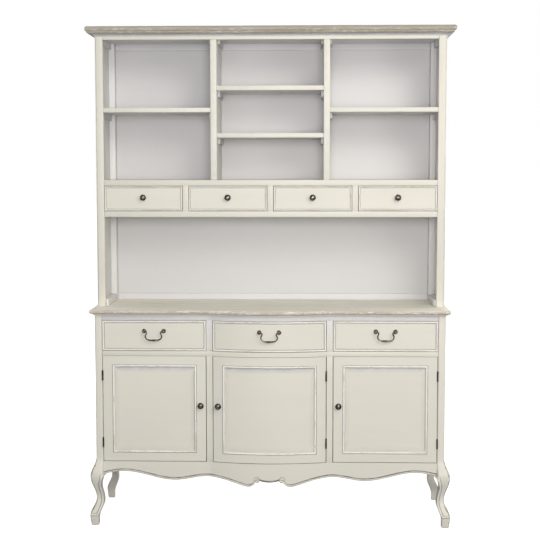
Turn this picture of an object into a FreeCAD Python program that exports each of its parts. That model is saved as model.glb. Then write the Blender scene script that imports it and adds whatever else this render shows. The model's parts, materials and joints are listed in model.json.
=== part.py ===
import FreeCAD, Part
import math
import os

# A painted dresser: a bow-fronted base with drawers over doors, and an open hutch on its counter.
# Sizes are in millimetres. X runs to the right, the front faces -Y and Z is up.
# While the pieces are made, Y = 0 is the front face of the base's posts.

# Overall
total_height = 2000.0
base_width = 1398.5
base_depth = 405.0
back_recess = 5.0

# Counter of limed wood
counter_height = 874.0
counter_thickness = 22.0
counter_side_overhang = 18.0
counter_front_overhang = 28.0
counter_nose_radius = 6.0
counter_cove_start = 5.0
counter_cove_reach = 11.0

# Bow of the front between the stiles
bow_depth = 36.0

# Legs, from the floor up: foot, toe, ankle, knee below the apron's end, and where the curve springs from;
# inside them the instep, the ankle and the hollow behind the knee
post_face = 29.0
post_depth = 32.0
leg_corner = 5.0
foot_out = 19.5
foot_in = 10.5
toe_height = 41.0
toe_out = 23.5
instep_height = 27.0
ankle_height = 109.0
ankle_out = 0.5
ankle_in_height = 100.0
ankle_in = 30.5
hollow_height = 163.0
hollow_in = 21.5
knee_below_apron = 4.75
knee_out = 22.0
spring_rise = 16.25
leg_steps = 16
spring_steps = 5

# Face frame of the base
cupboard_height = 258.75
frame_thickness = 22.0
top_rail_height = 21.0
drawer_opening_height = 123.0
drawer_rail_height = 20.0
stile_centre = 240.0
stile_face = 25.0
reveal = 2.5

# Apron: drops below the door openings; shares of the way from post to stile, or places from the middle
apron_end_drop = 53.0
apron_peak_drop = 40.0
apron_peak_share = 0.182
apron_low_drop = 74.5
apron_low_share = 0.6846
apron_hump_drop = 59.0
apron_hump_from_stile = 22.0
apron_lobe_drop = 92.0
apron_lobe_x = 82.0
apron_middle_drop = 76.0
apron_bead_width = 9.0
apron_bead_proud = 3.0
scroll_x = 53.0
scroll_drop = 67.0
scroll_radius = 10.0
scroll_proud = 5.0

# Sides and back of the base
side_inset = 3.0
side_top_rail_height = 60.0
side_bottom_rail_height = 95.0
side_arch_rise = 18.0
side_panel_thickness = 10.0
side_panel_setback = 6.0
back_panel_thickness = 8.0

# Cupboard inside
floor_thickness = 16.0
partition_thickness = 18.0
cupboard_shelf_height = 210.0
cupboard_shelf_thickness = 16.0
cupboard_shelf_setback = 40.0

# Drawers of the base
drawer_front_thickness = 20.0
drawer_bead_width = 10.0
drawer_bead_proud = 3.5
drawer_back_clearance = 42.0
drawer_headroom = 22.5
drawer_side_gap = 4.0
drawer_board = 12.0
drawer_bottom = 6.0
drawer_bottom_rise = 8.0
runner_width = 22.0
runner_height = 16.0
slide_clearance = 0.3

# Bail handles
handle_spacing = 78.0
handle_rise = 19.0
rosette_radius = 9.0
rosette_thickness = 3.0
handle_stem_radius = 3.6
handle_ball_radius = 5.5
handle_reach = 17.0
bail_radius = 2.3
bail_drop = 35.5
bail_half_width = 33.5
bail_neck_half_width = 27.5
bail_corner_radius = 13.0
bail_neck_radius = 4.0
bail_grip_radius = 3.7
bail_grip_length = 34.0
pivot_clearance = 0.05

# Doors
door_thickness = 20.0
door_stile = 38.0
door_top_rail = 34.0
door_bottom_rail = 34.5
door_bead_width = 10.0
door_bead_proud = 3.0
door_panel_recess = 6.0
door_panel_thickness = 8.0
door_knob_inset = 20.0
door_knob_height = 228.0

# Knobs
knob_radius = 12.5
knob_reach = 23.0
knob_neck_radius = 5.0
knob_plate_radius = 9.0
knob_plate_thickness = 2.5

# Butt hinges and catches
hinge_height = 40.0
hinge_inset = 76.0
hinge_leaf = 0.9
hinge_leaf_depth = 18.0
knuckle_radius = 3.2
knuckle_gap = 0.3
hinge_pin_radius = 1.5
catch_width = 24.0
catch_height = 14.0
catch_depth = 18.0
catch_plate = 1.5
catch_gap = 0.5

# Hutch
hutch_side_step = 5.5
hutch_depth = 299.0
hutch_post_face = 32.5
hutch_post_depth = 30.0
hutch_back_stile = 48.0
hutch_frame_reach = 7.5
hutch_side_top_rail = 38.0
hutch_side_bottom_rail = 28.0
hutch_panel_setback = 16.0
hutch_panel_thickness = 10.0
hutch_back_thickness = 14.0
hutch_back_recess = 3.0
hutch_back_panel = 8.0
hutch_back_top_rail = 40.0
hutch_back_bottom_rail = 27.5
hutch_ceiling_board = 12.5

# Cornice
cornice_thickness = 28.0
cornice_overhang = 34.5
cornice_nose_radius = 8.0
cornice_ovolo_start = 5.0
cornice_ovolo_reach = 7.0
cove_start = 14.0
cove_height = 11.0
frieze_height = 23.5
frieze_thickness = 20.0

# Hutch shelves and dividers; heights are shares of the way from the deck to the top
divider_centre = 227.5
divider_thickness = 25.4
shelf_thickness = 18.5
shelf_setback = 2.0
side_shelf_share = 0.4966
upper_shelf_share = 0.6467
lower_shelf_share = 0.3225
cleat_height = 24.0
cleat_thickness = 10.0
cleat_setback = 24.0

# Hutch drawers
deck_top = 1389.0
case_board = 24.0
hutch_drawer_opening = 102.0
hutch_drawer_stile = 24.0
hutch_reveal = 1.75
hutch_front_thickness = 18.0
hutch_bead_width = 8.0
hutch_bead_proud = 3.0
hutch_back_clearance = 31.0
hutch_headroom = 17.7
hutch_knob_rise = 4.0
guide_height = 20.0

# Fixing plates at the back, between hutch and base
plate_x = 300.0
plate_width = 40.0
plate_thickness = 2.5
plate_below = 30.0
plate_screw_inset = 11.0
screw_head_radius = 4.0
screw_head_height = 1.8

# Curve resolution of mouldings
nose_steps = 8
cove_steps = 5

# Worked out from the sizes above
base_half = base_width / 2
post_inner = base_half - post_face
board_back = base_depth - back_recess
counter_under = counter_height - counter_thickness
drawer_top = counter_under - top_rail_height
drawer_floor = drawer_top - drawer_opening_height
door_top = drawer_floor - drawer_rail_height
apron_top = cupboard_height
apron_end = apron_top - apron_end_drop
knee_height = apron_end - knee_below_apron
leg_spring = apron_top + spring_rise
stile_inner = stile_centre - stile_face / 2
stile_outer = stile_centre + stile_face / 2
partition_inner = stile_centre - partition_thickness / 2
partition_outer = stile_centre + partition_thickness / 2
inside_back = board_back - back_panel_thickness
front_reach = -(bow_depth + counter_front_overhang)
origin_y = (front_reach + base_depth) / 2
drawer_box_back = inside_back - drawer_back_clearance
drawer_box_height = drawer_opening_height - reveal - drawer_headroom

hutch_half = base_half + hutch_side_step
hutch_inner = hutch_half - hutch_post_face
hutch_front = base_depth - hutch_depth
hutch_frame_inner = hutch_inner - hutch_frame_reach
hutch_panel_inner = hutch_inner + hutch_panel_setback
hutch_post_back = hutch_front + hutch_post_depth
hutch_stile_front = base_depth - hutch_back_stile
hutch_back_face = board_back - hutch_back_thickness
hutch_top = total_height - cornice_thickness
frieze_under = hutch_top - frieze_height
ceiling_under = hutch_top - hutch_ceiling_board
hutch_rail_inner = hutch_panel_inner - cleat_thickness
divider_inner = divider_centre - divider_thickness / 2
divider_outer = divider_centre + divider_thickness / 2
drawer_roof = deck_top - case_board
case_floor = drawer_roof - hutch_drawer_opening
case_under = case_floor - case_board
hutch_bay = (2 * hutch_inner - 3 * hutch_drawer_stile) / 4
hutch_box_back = hutch_back_face - hutch_back_clearance
hutch_box_height = hutch_drawer_opening - slide_clearance - hutch_headroom
side_shelf_top = deck_top + side_shelf_share * (hutch_top - deck_top)
upper_shelf_top = deck_top + upper_shelf_share * (hutch_top - deck_top)
lower_shelf_top = deck_top + lower_shelf_share * (hutch_top - deck_top)

DOOR_GAPS = {"left": (-post_inner, -stile_outer),
             "centre": (-stile_inner, stile_inner),
             "right": (stile_outer, post_inner)}


def vec(x, y, z):
    return FreeCAD.Vector(x, y, z)


def board(x0, x1, y0, y1, z0, z1):
    """Straight board between two corners."""
    return Part.makeBox(x1 - x0, y1 - y0, z1 - z0, vec(x0, y0, z0))


def group(solids):
    return Part.makeCompound(solids)


def mirrored(shape):
    """The same piece on the other side of the dresser."""
    return shape.mirror(vec(0, 0, 0), vec(1, 0, 0))


def line(start, end):
    return Part.LineSegment(start, end).toShape()


def closed_face(edges):
    return Part.Face(Part.Wire(Part.__sortEdges__(edges)))


def plate(points, z0, z1):
    """Flat plate with an outline in X and Y."""
    corners = [vec(x, y, z0) for x, y in points]
    return Part.Face(Part.makePolygon(corners + corners[:1])).extrude(vec(0, 0, z1 - z0))


def front_y(x):
    """Y of the base's front, which bows forward between the stiles' middles."""
    if abs(x) >= stile_centre:
        return 0.0
    radius = (stile_centre ** 2 + bow_depth ** 2) / (2 * bow_depth)
    return radius - bow_depth - math.sqrt(radius ** 2 - x ** 2)


def front_edges(x0, x1, setback):
    """Edges along the front from x0 to x1, a setback behind its face."""
    def point(x):
        return vec(x, front_y(x) + setback, 0)

    inner = [stop for stop in (-stile_centre, stile_centre) if x0 < stop < x1]
    stops = [x0] + inner + [x1]
    edges = []
    for start, end in zip(stops, stops[1:]):
        middle = (start + end) / 2
        if abs(middle) < stile_centre:
            edges.append(Part.Arc(point(start), point(middle), point(end)).toShape())
        else:
            edges.append(line(point(start), point(end)))
    return edges


def front_prism(x0, x1, z0, z1, near, back_edges):
    """Upright solid between the front, at near behind its face, and the given back edges."""
    front = front_edges(x0, x1, near)
    left = line(front[0].firstVertex(True).Point, back_edges[0].firstVertex(True).Point)
    right = line(front[-1].lastVertex(True).Point, back_edges[-1].lastVertex(True).Point)
    face = closed_face(front + back_edges + [left, right])
    face.translate(vec(0, 0, z0))
    return face.extrude(vec(0, 0, z1 - z0))


def front_piece(x0, x1, z0, z1, near, far):
    """Board of the base's front whose face and back both follow the bow."""
    return front_prism(x0, x1, z0, z1, near, front_edges(x0, x1, far))


def front_block(x0, x1, z0, z1, near, back):
    """Block whose front follows the bow and whose back is straight at Y = back."""
    return front_prism(x0, x1, z0, z1, near, [line(vec(x0, back, 0), vec(x1, back, 0))])


def hutch_piece(x0, x1, z0, z1, near, far):
    """Board of the hutch's flat front, from near to far behind its face."""
    return board(x0, x1, hutch_front + near, hutch_front + far, z0, z1)


def hutch_block(x0, x1, z0, z1, near, back):
    return board(x0, x1, hutch_front + near, back, z0, z1)


def slab_outline(half_width, front, back, bowed, z):
    """Outline of a moulded slab at one height."""
    if bowed:
        edges = front_edges(-half_width, half_width, front)
    else:
        edges = [line(vec(-half_width, front, 0), vec(half_width, front, 0))]
    edges.append(line(edges[-1].lastVertex(True).Point, vec(half_width, back, 0)))
    edges.append(line(vec(half_width, back, 0), vec(-half_width, back, 0)))
    edges.append(line(vec(-half_width, back, 0), edges[0].firstVertex(True).Point))
    wire = Part.Wire(edges)
    wire.translate(vec(0, 0, z))
    return wire


def moulded_slab(half_width, front, back, bowed, profile):
    """Slab moulded on its front and ends: profile holds pairs of inset and height."""
    wires = [slab_outline(half_width - inset, front + inset, back, bowed, z) for inset, z in profile]
    return Part.makeLoft(wires, True, True)


def round_nose(radius, top):
    """Half-round nose from the top edge down."""
    angles = [math.pi * (0.5 - step / nose_steps) for step in range(nose_steps + 1)]
    return [(radius * (1 - math.cos(a)), top - radius + radius * math.sin(a)) for a in angles]


def cove(start, reach, top, height):
    """Hollow moulding that runs inwards and down."""
    angles = [math.pi / 2 * step / cove_steps for step in range(cove_steps + 1)]
    return [(start + reach * math.sin(a), top - height * (1 - math.cos(a))) for a in angles]


def ovolo(start, reach, top, height):
    """Round moulding that runs down and inwards."""
    angles = [math.pi / 2 * step / cove_steps for step in range(cove_steps + 1)]
    return [(start + reach * (1 - math.cos(a)), top - height * math.sin(a)) for a in angles]


# Legs

def rounded_rectangle(x0, x1, y0, y1, z, radius):
    """Closed wire of a rectangle with rounded corners."""
    centres = ((x1 - radius, y0 + radius, -90), (x1 - radius, y1 - radius, 0),
               (x0 + radius, y1 - radius, 90), (x0 + radius, y0 + radius, 180))
    arcs = []
    for x, y, start in centres:
        points = [vec(x + radius * math.cos(math.radians(start + turn)),
                      y + radius * math.sin(math.radians(start + turn)), z) for turn in (0, 45, 90)]
        arcs.append(Part.Arc(*points).toShape())
    edges = []
    for arc, following in zip(arcs, arcs[1:] + arcs[:1]):
        edges += [arc, line(arc.lastVertex(True).Point, following.firstVertex(True).Point)]
    return Part.Wire(edges)


def eased(keys, z):
    """Value at height z, eased between key points of height and value."""
    for (z0, low), (z1, high) in zip(keys, keys[1:]):
        if z <= z1:
            return low + (high - low) * (1 - math.cos(math.pi * (z - z0) / (z1 - z0))) / 2


def leg_stations():
    """Height, outer swell and inner reach of the leg, which is straight inside above the apron's end."""
    swell = ((0.0, foot_out), (toe_height, toe_out), (ankle_height, ankle_out), (knee_height, knee_out),
             (leg_spring, 0.0))
    reach = ((0.0, foot_in), (instep_height, foot_in), (ankle_in_height, ankle_in), (hollow_height, hollow_in),
             (apron_end, post_face), (leg_spring, post_face))
    levels = [apron_end * step / leg_steps for step in range(leg_steps)]
    levels += [apron_end + (leg_spring - apron_end) * step / spring_steps for step in range(spring_steps + 1)]
    return [(z, eased(swell, z), eased(reach, z)) for z in levels]


def leg_section(z, swell, reach, front):
    """Section of a right-hand leg; a back leg stays flat behind."""
    x0 = base_half - reach
    x1 = base_half + swell
    depth = post_depth + reach - post_face
    if front:
        return rounded_rectangle(x0, x1, -swell, depth, z, leg_corner)
    return rounded_rectangle(x0, x1, base_depth - depth, base_depth, z, leg_corner)


def right_leg(front):
    """Cabriole leg and the post above it, in one piece."""
    sections = [leg_section(z, swell, reach, front) for z, swell, reach in leg_stations()]
    curve = Part.makeLoft(sections, True, True)
    post = Part.Face(leg_section(leg_spring, 0.0, post_face, front))
    return curve.fuse(post.extrude(vec(0, 0, counter_under - leg_spring))).removeSplitter()


# Base cabinet

def right_base_side():
    """Top rail, arched bottom rail and panel between the right legs."""
    y0 = post_depth
    y1 = base_depth - post_depth
    outer = base_half - side_inset
    low = apron_end
    rail_top = low + side_bottom_rail_height
    top_rail = board(post_inner, outer, y0, y1, counter_under - side_top_rail_height, counter_under)
    arch = Part.Arc(vec(0, y0, low), vec(0, (y0 + y1) / 2, low + side_arch_rise), vec(0, y1, low)).toShape()
    rail = closed_face([arch, line(vec(0, y1, low), vec(0, y1, rail_top)),
                        line(vec(0, y1, rail_top), vec(0, y0, rail_top)),
                        line(vec(0, y0, rail_top), vec(0, y0, low))])
    rail.translate(vec(post_inner, 0, 0))
    bottom_rail = rail.extrude(vec(outer - post_inner, 0, 0))
    panel_x = post_inner + side_panel_setback
    panel = board(panel_x, panel_x + side_panel_thickness, y0, y1, rail_top,
                  counter_under - side_top_rail_height)
    return group([top_rail, bottom_rail, panel])


def base_back_panel():
    low = apron_top - floor_thickness
    return board(-post_inner, post_inner, inside_back, board_back, low, counter_under)


def face_frame():
    """Rails that run through between the posts, and the stiles between them."""
    pieces = [front_block(-post_inner, post_inner, drawer_top, counter_under, 0, frame_thickness),
              front_block(-post_inner, post_inner, door_top, drawer_floor, 0, frame_thickness)]
    for z0, z1 in ((drawer_floor, drawer_top), (apron_top, door_top)):
        stile = front_block(stile_inner, stile_outer, z0, z1, 0, frame_thickness)
        pieces += [stile, mirrored(stile)]
    return group(pieces)


def apron_edge():
    """Edges of the apron's wavy lower line, from the left post to the right one."""
    def point(x, drop):
        return vec(x, 0, apron_top - drop)

    lobe = point(apron_lobe_x, apron_lobe_drop)
    wave = Part.BSplineCurve()
    run = post_inner - stile_centre
    wave.interpolate(Points=[point(post_inner, apron_end_drop),
                             point(post_inner - apron_peak_share * run, apron_peak_drop),
                             point(post_inner - apron_low_share * run, apron_low_drop),
                             point(stile_centre + apron_hump_from_stile, apron_hump_drop),
                             lobe])
    scroll_under = point(scroll_x, scroll_drop + scroll_radius)
    bend = (lobe + scroll_under) * 0.5 + vec(scroll_radius / 4, 0, -scroll_radius / 4)
    right = [wave.toShape(), Part.Arc(lobe, bend, scroll_under).toShape()]
    far_scroll = point(-scroll_x, scroll_drop + scroll_radius)
    middle = Part.Arc(scroll_under, point(0, apron_middle_drop + scroll_radius / 2), far_scroll).toShape()
    return right + [middle] + [mirrored(edge) for edge in right]


def apron_strip(upper_edges, upper_z, near, back_is_straight):
    """Part of the bowed front between the wavy line and the given upper edges."""
    low = apron_top - apron_lobe_drop - scroll_radius
    ends = [line(vec(x, 0, apron_end), vec(x, 0, upper_z)) for x in (-post_inner, post_inner)]
    face = closed_face(apron_edge() + upper_edges + ends)
    face.translate(vec(0, -base_depth, 0))
    prism = face.extrude(vec(0, 2 * base_depth, 0))
    if back_is_straight:
        return prism.common(front_block(-post_inner, post_inner, low, apron_top, near, frame_thickness))
    return prism.common(front_piece(-post_inner, post_inner, low, apron_top, near, 0))


def front_apron():
    """Apron board, the raised bead along its edge and two carved scrolls."""
    top = [line(vec(-post_inner, 0, apron_top), vec(post_inner, 0, apron_top))]
    board_piece = apron_strip(top, apron_top, 0, True)
    raised = apron_edge()
    for edge in raised:
        edge.translate(vec(0, 0, apron_bead_width))
    bead = apron_strip(raised, apron_end + apron_bead_width, -apron_bead_proud, False)
    face_at_scroll = front_y(scroll_x - scroll_radius) - apron_bead_proud
    scroll = Part.makeCylinder(scroll_radius, scroll_proud,
                               vec(scroll_x, face_at_scroll, apron_top - scroll_drop), vec(0, -1, 0))
    return group(board_piece.Solids + bead.Solids + [scroll, mirrored(scroll)])


def cupboard_carcass():
    """Floor of the cupboards and the two partitions behind the stiles."""
    y0 = frame_thickness
    floor = board(-post_inner, post_inner, y0, inside_back, apron_top - floor_thickness, apron_top)
    wall = board(partition_inner, partition_outer, y0, inside_back, apron_top, counter_under)
    return group([floor, wall, mirrored(wall)])


def cupboard_shelves():
    z1 = apron_top + cupboard_shelf_height
    z0 = z1 - cupboard_shelf_thickness
    y0 = frame_thickness + cupboard_shelf_setback
    y1 = base_depth - post_depth
    side = board(partition_outer, post_inner + side_panel_setback, y0, y1, z0, z1)
    return group([board(-partition_inner, partition_inner, y0, y1, z0, z1), side, mirrored(side)])


def runner_top():
    """Height of the runners that the base's drawers slide on."""
    return drawer_floor + reveal - slide_clearance


def drawer_runners():
    """Runners under the base's drawers, and the side guides of the hutch's outer drawers."""
    z1 = runner_top()
    z0 = z1 - runner_height
    spans = ((partition_inner - runner_width, partition_inner),
             (partition_outer, partition_outer + runner_width),
             (post_inner - runner_width, post_inner))
    pieces = [board(x0, x1, frame_thickness, inside_back, z0, z1) for x0, x1 in spans]
    pieces.append(board(hutch_inner, hutch_panel_inner, hutch_post_back, hutch_stile_front,
                        case_floor, case_floor + guide_height))
    return group(pieces + [mirrored(piece) for piece in pieces])


def counter_top():
    profile = round_nose(counter_nose_radius, counter_height)
    start = counter_height - 2 * counter_nose_radius
    rest = cove(counter_cove_start, counter_cove_reach, start, start - counter_under)
    profile = profile[:-1] + rest
    return moulded_slab(base_half + counter_side_overhang, -counter_front_overhang, board_back, True, profile)


# Drawers

def beaded_front(piece, x0, x1, z0, z1, thickness, bead_width, bead_proud):
    """Drawer front with a raised bead round its edge."""
    blank = piece(x0, x1, z0, z1, -bead_proud, thickness)
    field = piece(x0 + bead_width, x1 - bead_width, z0 + bead_width, z1 - bead_width, -2 * bead_proud, 0)
    return blank.cut(field)


def drawer_box(block, x0, x1, z0, z1, front_back, back):
    """Two sides, back and bottom behind a drawer front."""
    inner0 = x0 + drawer_board
    inner1 = x1 - drawer_board
    floor = z0 + drawer_bottom_rise
    return group([block(x0, inner0, z0, z1, front_back, back),
                  block(inner1, x1, z0, z1, front_back, back),
                  board(inner0, inner1, back - drawer_board, back, floor, z1),
                  block(inner0, inner1, floor, floor + drawer_bottom, front_back, back - drawer_board)])


def base_drawer_span(name):
    """X span of a base drawer's or door's front."""
    x0, x1 = DOOR_GAPS[name]
    return x0 + reveal, x1 - reveal


def base_drawer(name):
    """Front and box of one drawer in the base."""
    x0, x1 = base_drawer_span(name)
    z0 = drawer_floor + reveal
    front = beaded_front(front_piece, x0, x1, z0, drawer_top - reveal, drawer_front_thickness,
                         drawer_bead_width, drawer_bead_proud)
    box = drawer_box(front_block, x0 + drawer_side_gap, x1 - drawer_side_gap, z0, z0 + drawer_box_height,
                     drawer_front_thickness, drawer_box_back)
    return front, box


def handle_pivot(name):
    """Middle of a bail's pivot line."""
    x0, x1 = base_drawer_span(name)
    middle = (x0 + x1) / 2
    seat = handle_seat(middle)
    return vec(middle, seat - handle_reach, (drawer_floor + drawer_top) / 2 + handle_rise)


def handle_seat(middle):
    """Y of the plane that both rosettes of a handle stand on."""
    nearest = handle_spacing / 2 - rosette_radius
    return min(front_y(middle - nearest), front_y(middle + nearest))


def handle_posts(name):
    """Rosette, stem and pierced ball at each end of a bail."""
    pivot = handle_pivot(name)
    posts = []
    for side in (-1, 1):
        centre = vec(pivot.x + side * handle_spacing / 2, pivot.y, pivot.z)
        foot = vec(centre.x, pivot.y + handle_reach, pivot.z)
        plate_piece = Part.makeCylinder(rosette_radius, rosette_thickness, foot, vec(0, -1, 0))
        stem = Part.makeCylinder(handle_stem_radius, handle_reach, foot, vec(0, -1, 0))
        ball = Part.makeSphere(handle_ball_radius, centre)
        bore_start = centre - vec(2 * handle_ball_radius, 0, 0)
        bore_radius = bail_radius + pivot_clearance
        bore = Part.makeCylinder(bore_radius, 4 * handle_ball_radius, bore_start, vec(1, 0, 0))
        posts.append(plate_piece.fuse([stem, ball]).cut(bore).removeSplitter())
    return group(posts)


def rounded_path(points, radii):
    """Straight runs joined by tangent arcs at the inner points."""
    edges = []
    start = points[0]
    for before, corner, after, radius in zip(points, points[1:], points[2:], radii):
        back = (before - corner).normalize()
        ahead = (after - corner).normalize()
        half = back.getAngle(ahead) / 2
        length = radius / math.tan(half)
        middle = corner + (back + ahead).normalize() * (radius / math.sin(half) - radius)
        first = corner + back * length
        last = corner + ahead * length
        edges += [line(start, first), Part.Arc(first, middle, last).toShape()]
        start = last
    edges.append(line(start, points[-1]))
    return Part.Wire(edges)


def bail(name):
    """Swan-neck bail that hangs from its posts, thicker in the grip."""
    pivot = handle_pivot(name)
    half_grip = bail_grip_length / 2
    grip = Part.makeCone(bail_grip_radius, bail_radius, half_grip, vec(0, 0, -bail_drop), vec(1, 0, 0))
    path = rounded_path([vec(0, 0, -bail_drop), vec(bail_half_width, 0, -bail_drop),
                         vec(bail_neck_half_width, 0, 0), vec(handle_spacing / 2, 0, 0)],
                        (bail_corner_radius, bail_neck_radius))
    section = Part.Wire(Part.makeCircle(bail_radius, vec(0, 0, -bail_drop), vec(1, 0, 0)))
    arm = path.makePipeShell([section], True, False)
    half = arm.fuse(grip)
    whole = half.fuse(mirrored(half)).removeSplitter()
    whole.translate(pivot)
    return whole


def knob(x, y, z):
    """Turned knob on a small plate, standing forward from (x, y, z)."""
    neck_end = knob_reach / 2
    outline = [vec(0, 0, 0), vec(knob_plate_radius, 0, 0), vec(knob_plate_radius, -knob_plate_thickness, 0),
               vec(knob_neck_radius, -knob_plate_thickness, 0), vec(knob_neck_radius, -neck_end, 0)]
    edges = [line(a, b) for a, b in zip(outline, outline[1:])]
    rim = vec(knob_radius, -(neck_end + knob_reach) / 2, 0)
    edges.append(line(outline[-1], rim))
    tip = vec(0, -knob_reach, 0)
    rise = rim.y - tip.y
    ball = (knob_radius ** 2 + rise ** 2) / (2 * rise)
    turn = math.asin(knob_radius / ball) / 2
    bulge = vec(ball * math.sin(turn), tip.y + ball * (1 - math.cos(turn)), 0)
    edges += [Part.Arc(rim, bulge, tip).toShape(), line(tip, vec(0, 0, 0))]
    solid = closed_face(edges).revolve(vec(0, 0, 0), vec(0, 1, 0), 360)
    solid.translate(vec(x, y, z))
    return solid


def hutch_drawer_span(index):
    """X span of the opening of hutch drawer 1 to 4, from the left."""
    x0 = -hutch_inner + (index - 1) * (hutch_bay + hutch_drawer_stile)
    return x0, x0 + hutch_bay


def hutch_drawer(index):
    """Front, box and knob of one small drawer."""
    x0, x1 = hutch_drawer_span(index)
    z0 = case_floor + hutch_reveal
    front = beaded_front(hutch_piece, x0 + hutch_reveal, x1 - hutch_reveal, z0, drawer_roof - hutch_reveal,
                         hutch_front_thickness, hutch_bead_width, hutch_bead_proud)
    floor = case_floor + slide_clearance
    box = drawer_box(hutch_block, x0 + drawer_side_gap, x1 - drawer_side_gap, floor, floor + hutch_box_height,
                     hutch_front_thickness, hutch_box_back)
    pull = knob((x0 + x1) / 2, hutch_front, (case_floor + drawer_roof) / 2 + hutch_knob_rise)
    return front, box, pull


# Doors

def door_span(name):
    """X and Z span of a door: left, right, bottom, top."""
    x0, x1 = base_drawer_span(name)
    return x0, x1, apron_top + reveal, door_top - reveal


def hinge_side(name):
    """1 where the door hangs on its right edge, -1 on its left."""
    return -1 if name == "left" else 1


def hinge_axis(name):
    """A point on the door's hinge line, in the middle of the gap and proud of the front."""
    x0, x1 = DOOR_GAPS[name]
    x = x0 + reveal / 2 if hinge_side(name) < 0 else x1 - reveal / 2
    face = min(front_y(x - knuckle_radius), front_y(x + knuckle_radius))
    return vec(x, face - knuckle_radius - knuckle_gap, 0)


def hinge_bottoms(name):
    """Heights of the lower ends of a door's two hinges."""
    z0, z1 = door_span(name)[2:]
    return [z0 + hinge_inset - hinge_height / 2, z1 - hinge_inset - hinge_height / 2]


def door_frame(name):
    """Two stiles, two rails and the bead moulding round the panel."""
    x0, x1, z0, z1 = door_span(name)
    in0 = x0 + door_stile
    in1 = x1 - door_stile
    low = z0 + door_bottom_rail
    high = z1 - door_top_rail
    wood = [(x0, in0, z0, z1), (in1, x1, z0, z1), (in0, in1, z0, low), (in0, in1, high, z1)]
    pieces = [front_piece(*span, 0, door_thickness) for span in wood]
    w = door_bead_width
    beads = [(in0, in1, low, low + w), (in0, in1, high - w, high),
             (in0, in0 + w, low + w, high - w), (in1 - w, in1, low + w, high - w)]
    return group(pieces + [front_piece(*span, -door_bead_proud, door_panel_recess) for span in beads])


def door_panel(name):
    x0, x1, z0, z1 = door_span(name)
    return front_piece(x0 + door_stile, x1 - door_stile, z0 + door_bottom_rail, z1 - door_top_rail,
                       door_panel_recess, door_panel_recess + door_panel_thickness)


def door_knob_x(name):
    x0, x1 = door_span(name)[:2]
    return x1 - door_knob_inset if hinge_side(name) < 0 else x0 + door_knob_inset


def door_knob(name):
    x = door_knob_x(name)
    seat = min(front_y(x - knob_plate_radius), front_y(x + knob_plate_radius))
    return knob(x, seat, door_span(name)[2] + door_knob_height)


def hinge_leaf_solid(name, z, fixed):
    """One leaf of a hinge with its knuckles: two on the frame's leaf, one on the door's."""
    axis = hinge_axis(name)
    side = hinge_side(name) if fixed else -hinge_side(name)
    edge = axis.x + side * reveal / 2
    x0, x1 = sorted((edge, edge - side * hinge_leaf))
    plate_front = axis.y + knuckle_radius + knuckle_gap
    third = hinge_height / 3
    spans = [(0, third), (2 * third, hinge_height)] if fixed else [(third, 2 * third)]
    gap = 0.0 if fixed else knuckle_gap
    leaf = board(x0, x1, plate_front, plate_front + hinge_leaf_depth, z, z + hinge_height)
    for low, high in spans:
        base = vec(axis.x, axis.y, z + low + gap)
        length = high - low - 2 * gap
        tongue = board(x0, x1, axis.y, plate_front, base.z, base.z + length)
        leaf = leaf.fuse([Part.makeCylinder(knuckle_radius, length, base), tongue])
    bore = Part.makeCylinder(hinge_pin_radius + pivot_clearance, hinge_height, vec(axis.x, axis.y, z))
    return leaf.cut(bore).removeSplitter()


def door_fittings(name):
    """The door's own hinge leaves, and the steel plate that its catch pulls on."""
    leaves = [hinge_leaf_solid(name, z, False) for z in hinge_bottoms(name)]
    x = door_knob_x(name)
    top = door_span(name)[3]
    strike = front_piece(x - catch_width / 2, x + catch_width / 2, top - catch_height, top,
                         door_thickness, door_thickness + catch_plate)
    return group(leaves + [strike])


def door_hinge_leaves():
    """The leaves on the posts and stile, with the pins of all the hinges."""
    pieces = []
    for name in DOOR_GAPS:
        axis = hinge_axis(name)
        for z in hinge_bottoms(name):
            pieces.append(hinge_leaf_solid(name, z, True))
            pieces.append(Part.makeCylinder(hinge_pin_radius, hinge_height, vec(axis.x, axis.y, z)))
    return group(pieces)


def door_catches():
    """Magnetic catches behind each door's free edge, with a lug up the back of the drawer rail."""
    near = door_thickness + catch_plate + catch_gap
    back = frame_thickness + catch_depth
    lug_top = runner_top() - runner_height
    catches = []
    for name in DOOR_GAPS:
        x0 = door_knob_x(name) - catch_width / 2
        x1 = x0 + catch_width
        case = front_block(x0, x1, door_top - catch_height, door_top, near, back)
        lug = board(x0, x1, frame_thickness, back, door_top, lug_top)
        catches.append(case.fuse(lug).removeSplitter())
    return group(catches)


# Hutch

def right_hutch_side():
    """Post, back stile, rails and panel of the hutch's right side."""
    bottom = counter_height + hutch_side_bottom_rail
    top = hutch_top - hutch_side_top_rail
    run = (hutch_half, hutch_post_back, hutch_stile_front)
    panel_outer = hutch_panel_inner + hutch_panel_thickness
    height = (counter_height, hutch_top)
    return group([board(hutch_inner, hutch_half, hutch_front, hutch_post_back, *height),
                  board(hutch_frame_inner, hutch_half, hutch_stile_front, base_depth, *height),
                  board(hutch_frame_inner, *run, counter_height, bottom),
                  board(hutch_rail_inner, *run, top, hutch_top),
                  board(hutch_panel_inner, panel_outer, hutch_post_back, hutch_stile_front, bottom, top)])


def hutch_back():
    """Rails and panel behind the shelves, between the back stiles."""
    half = hutch_frame_inner
    low = counter_height + hutch_back_bottom_rail
    high = hutch_top - hutch_back_top_rail
    face = hutch_back_face + hutch_back_recess
    return group([board(-half, half, hutch_back_face, board_back, counter_height, low),
                  board(-half, half, hutch_back_face, board_back, high, hutch_top),
                  board(-half, half, face, face + hutch_back_panel, low, high)])


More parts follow.
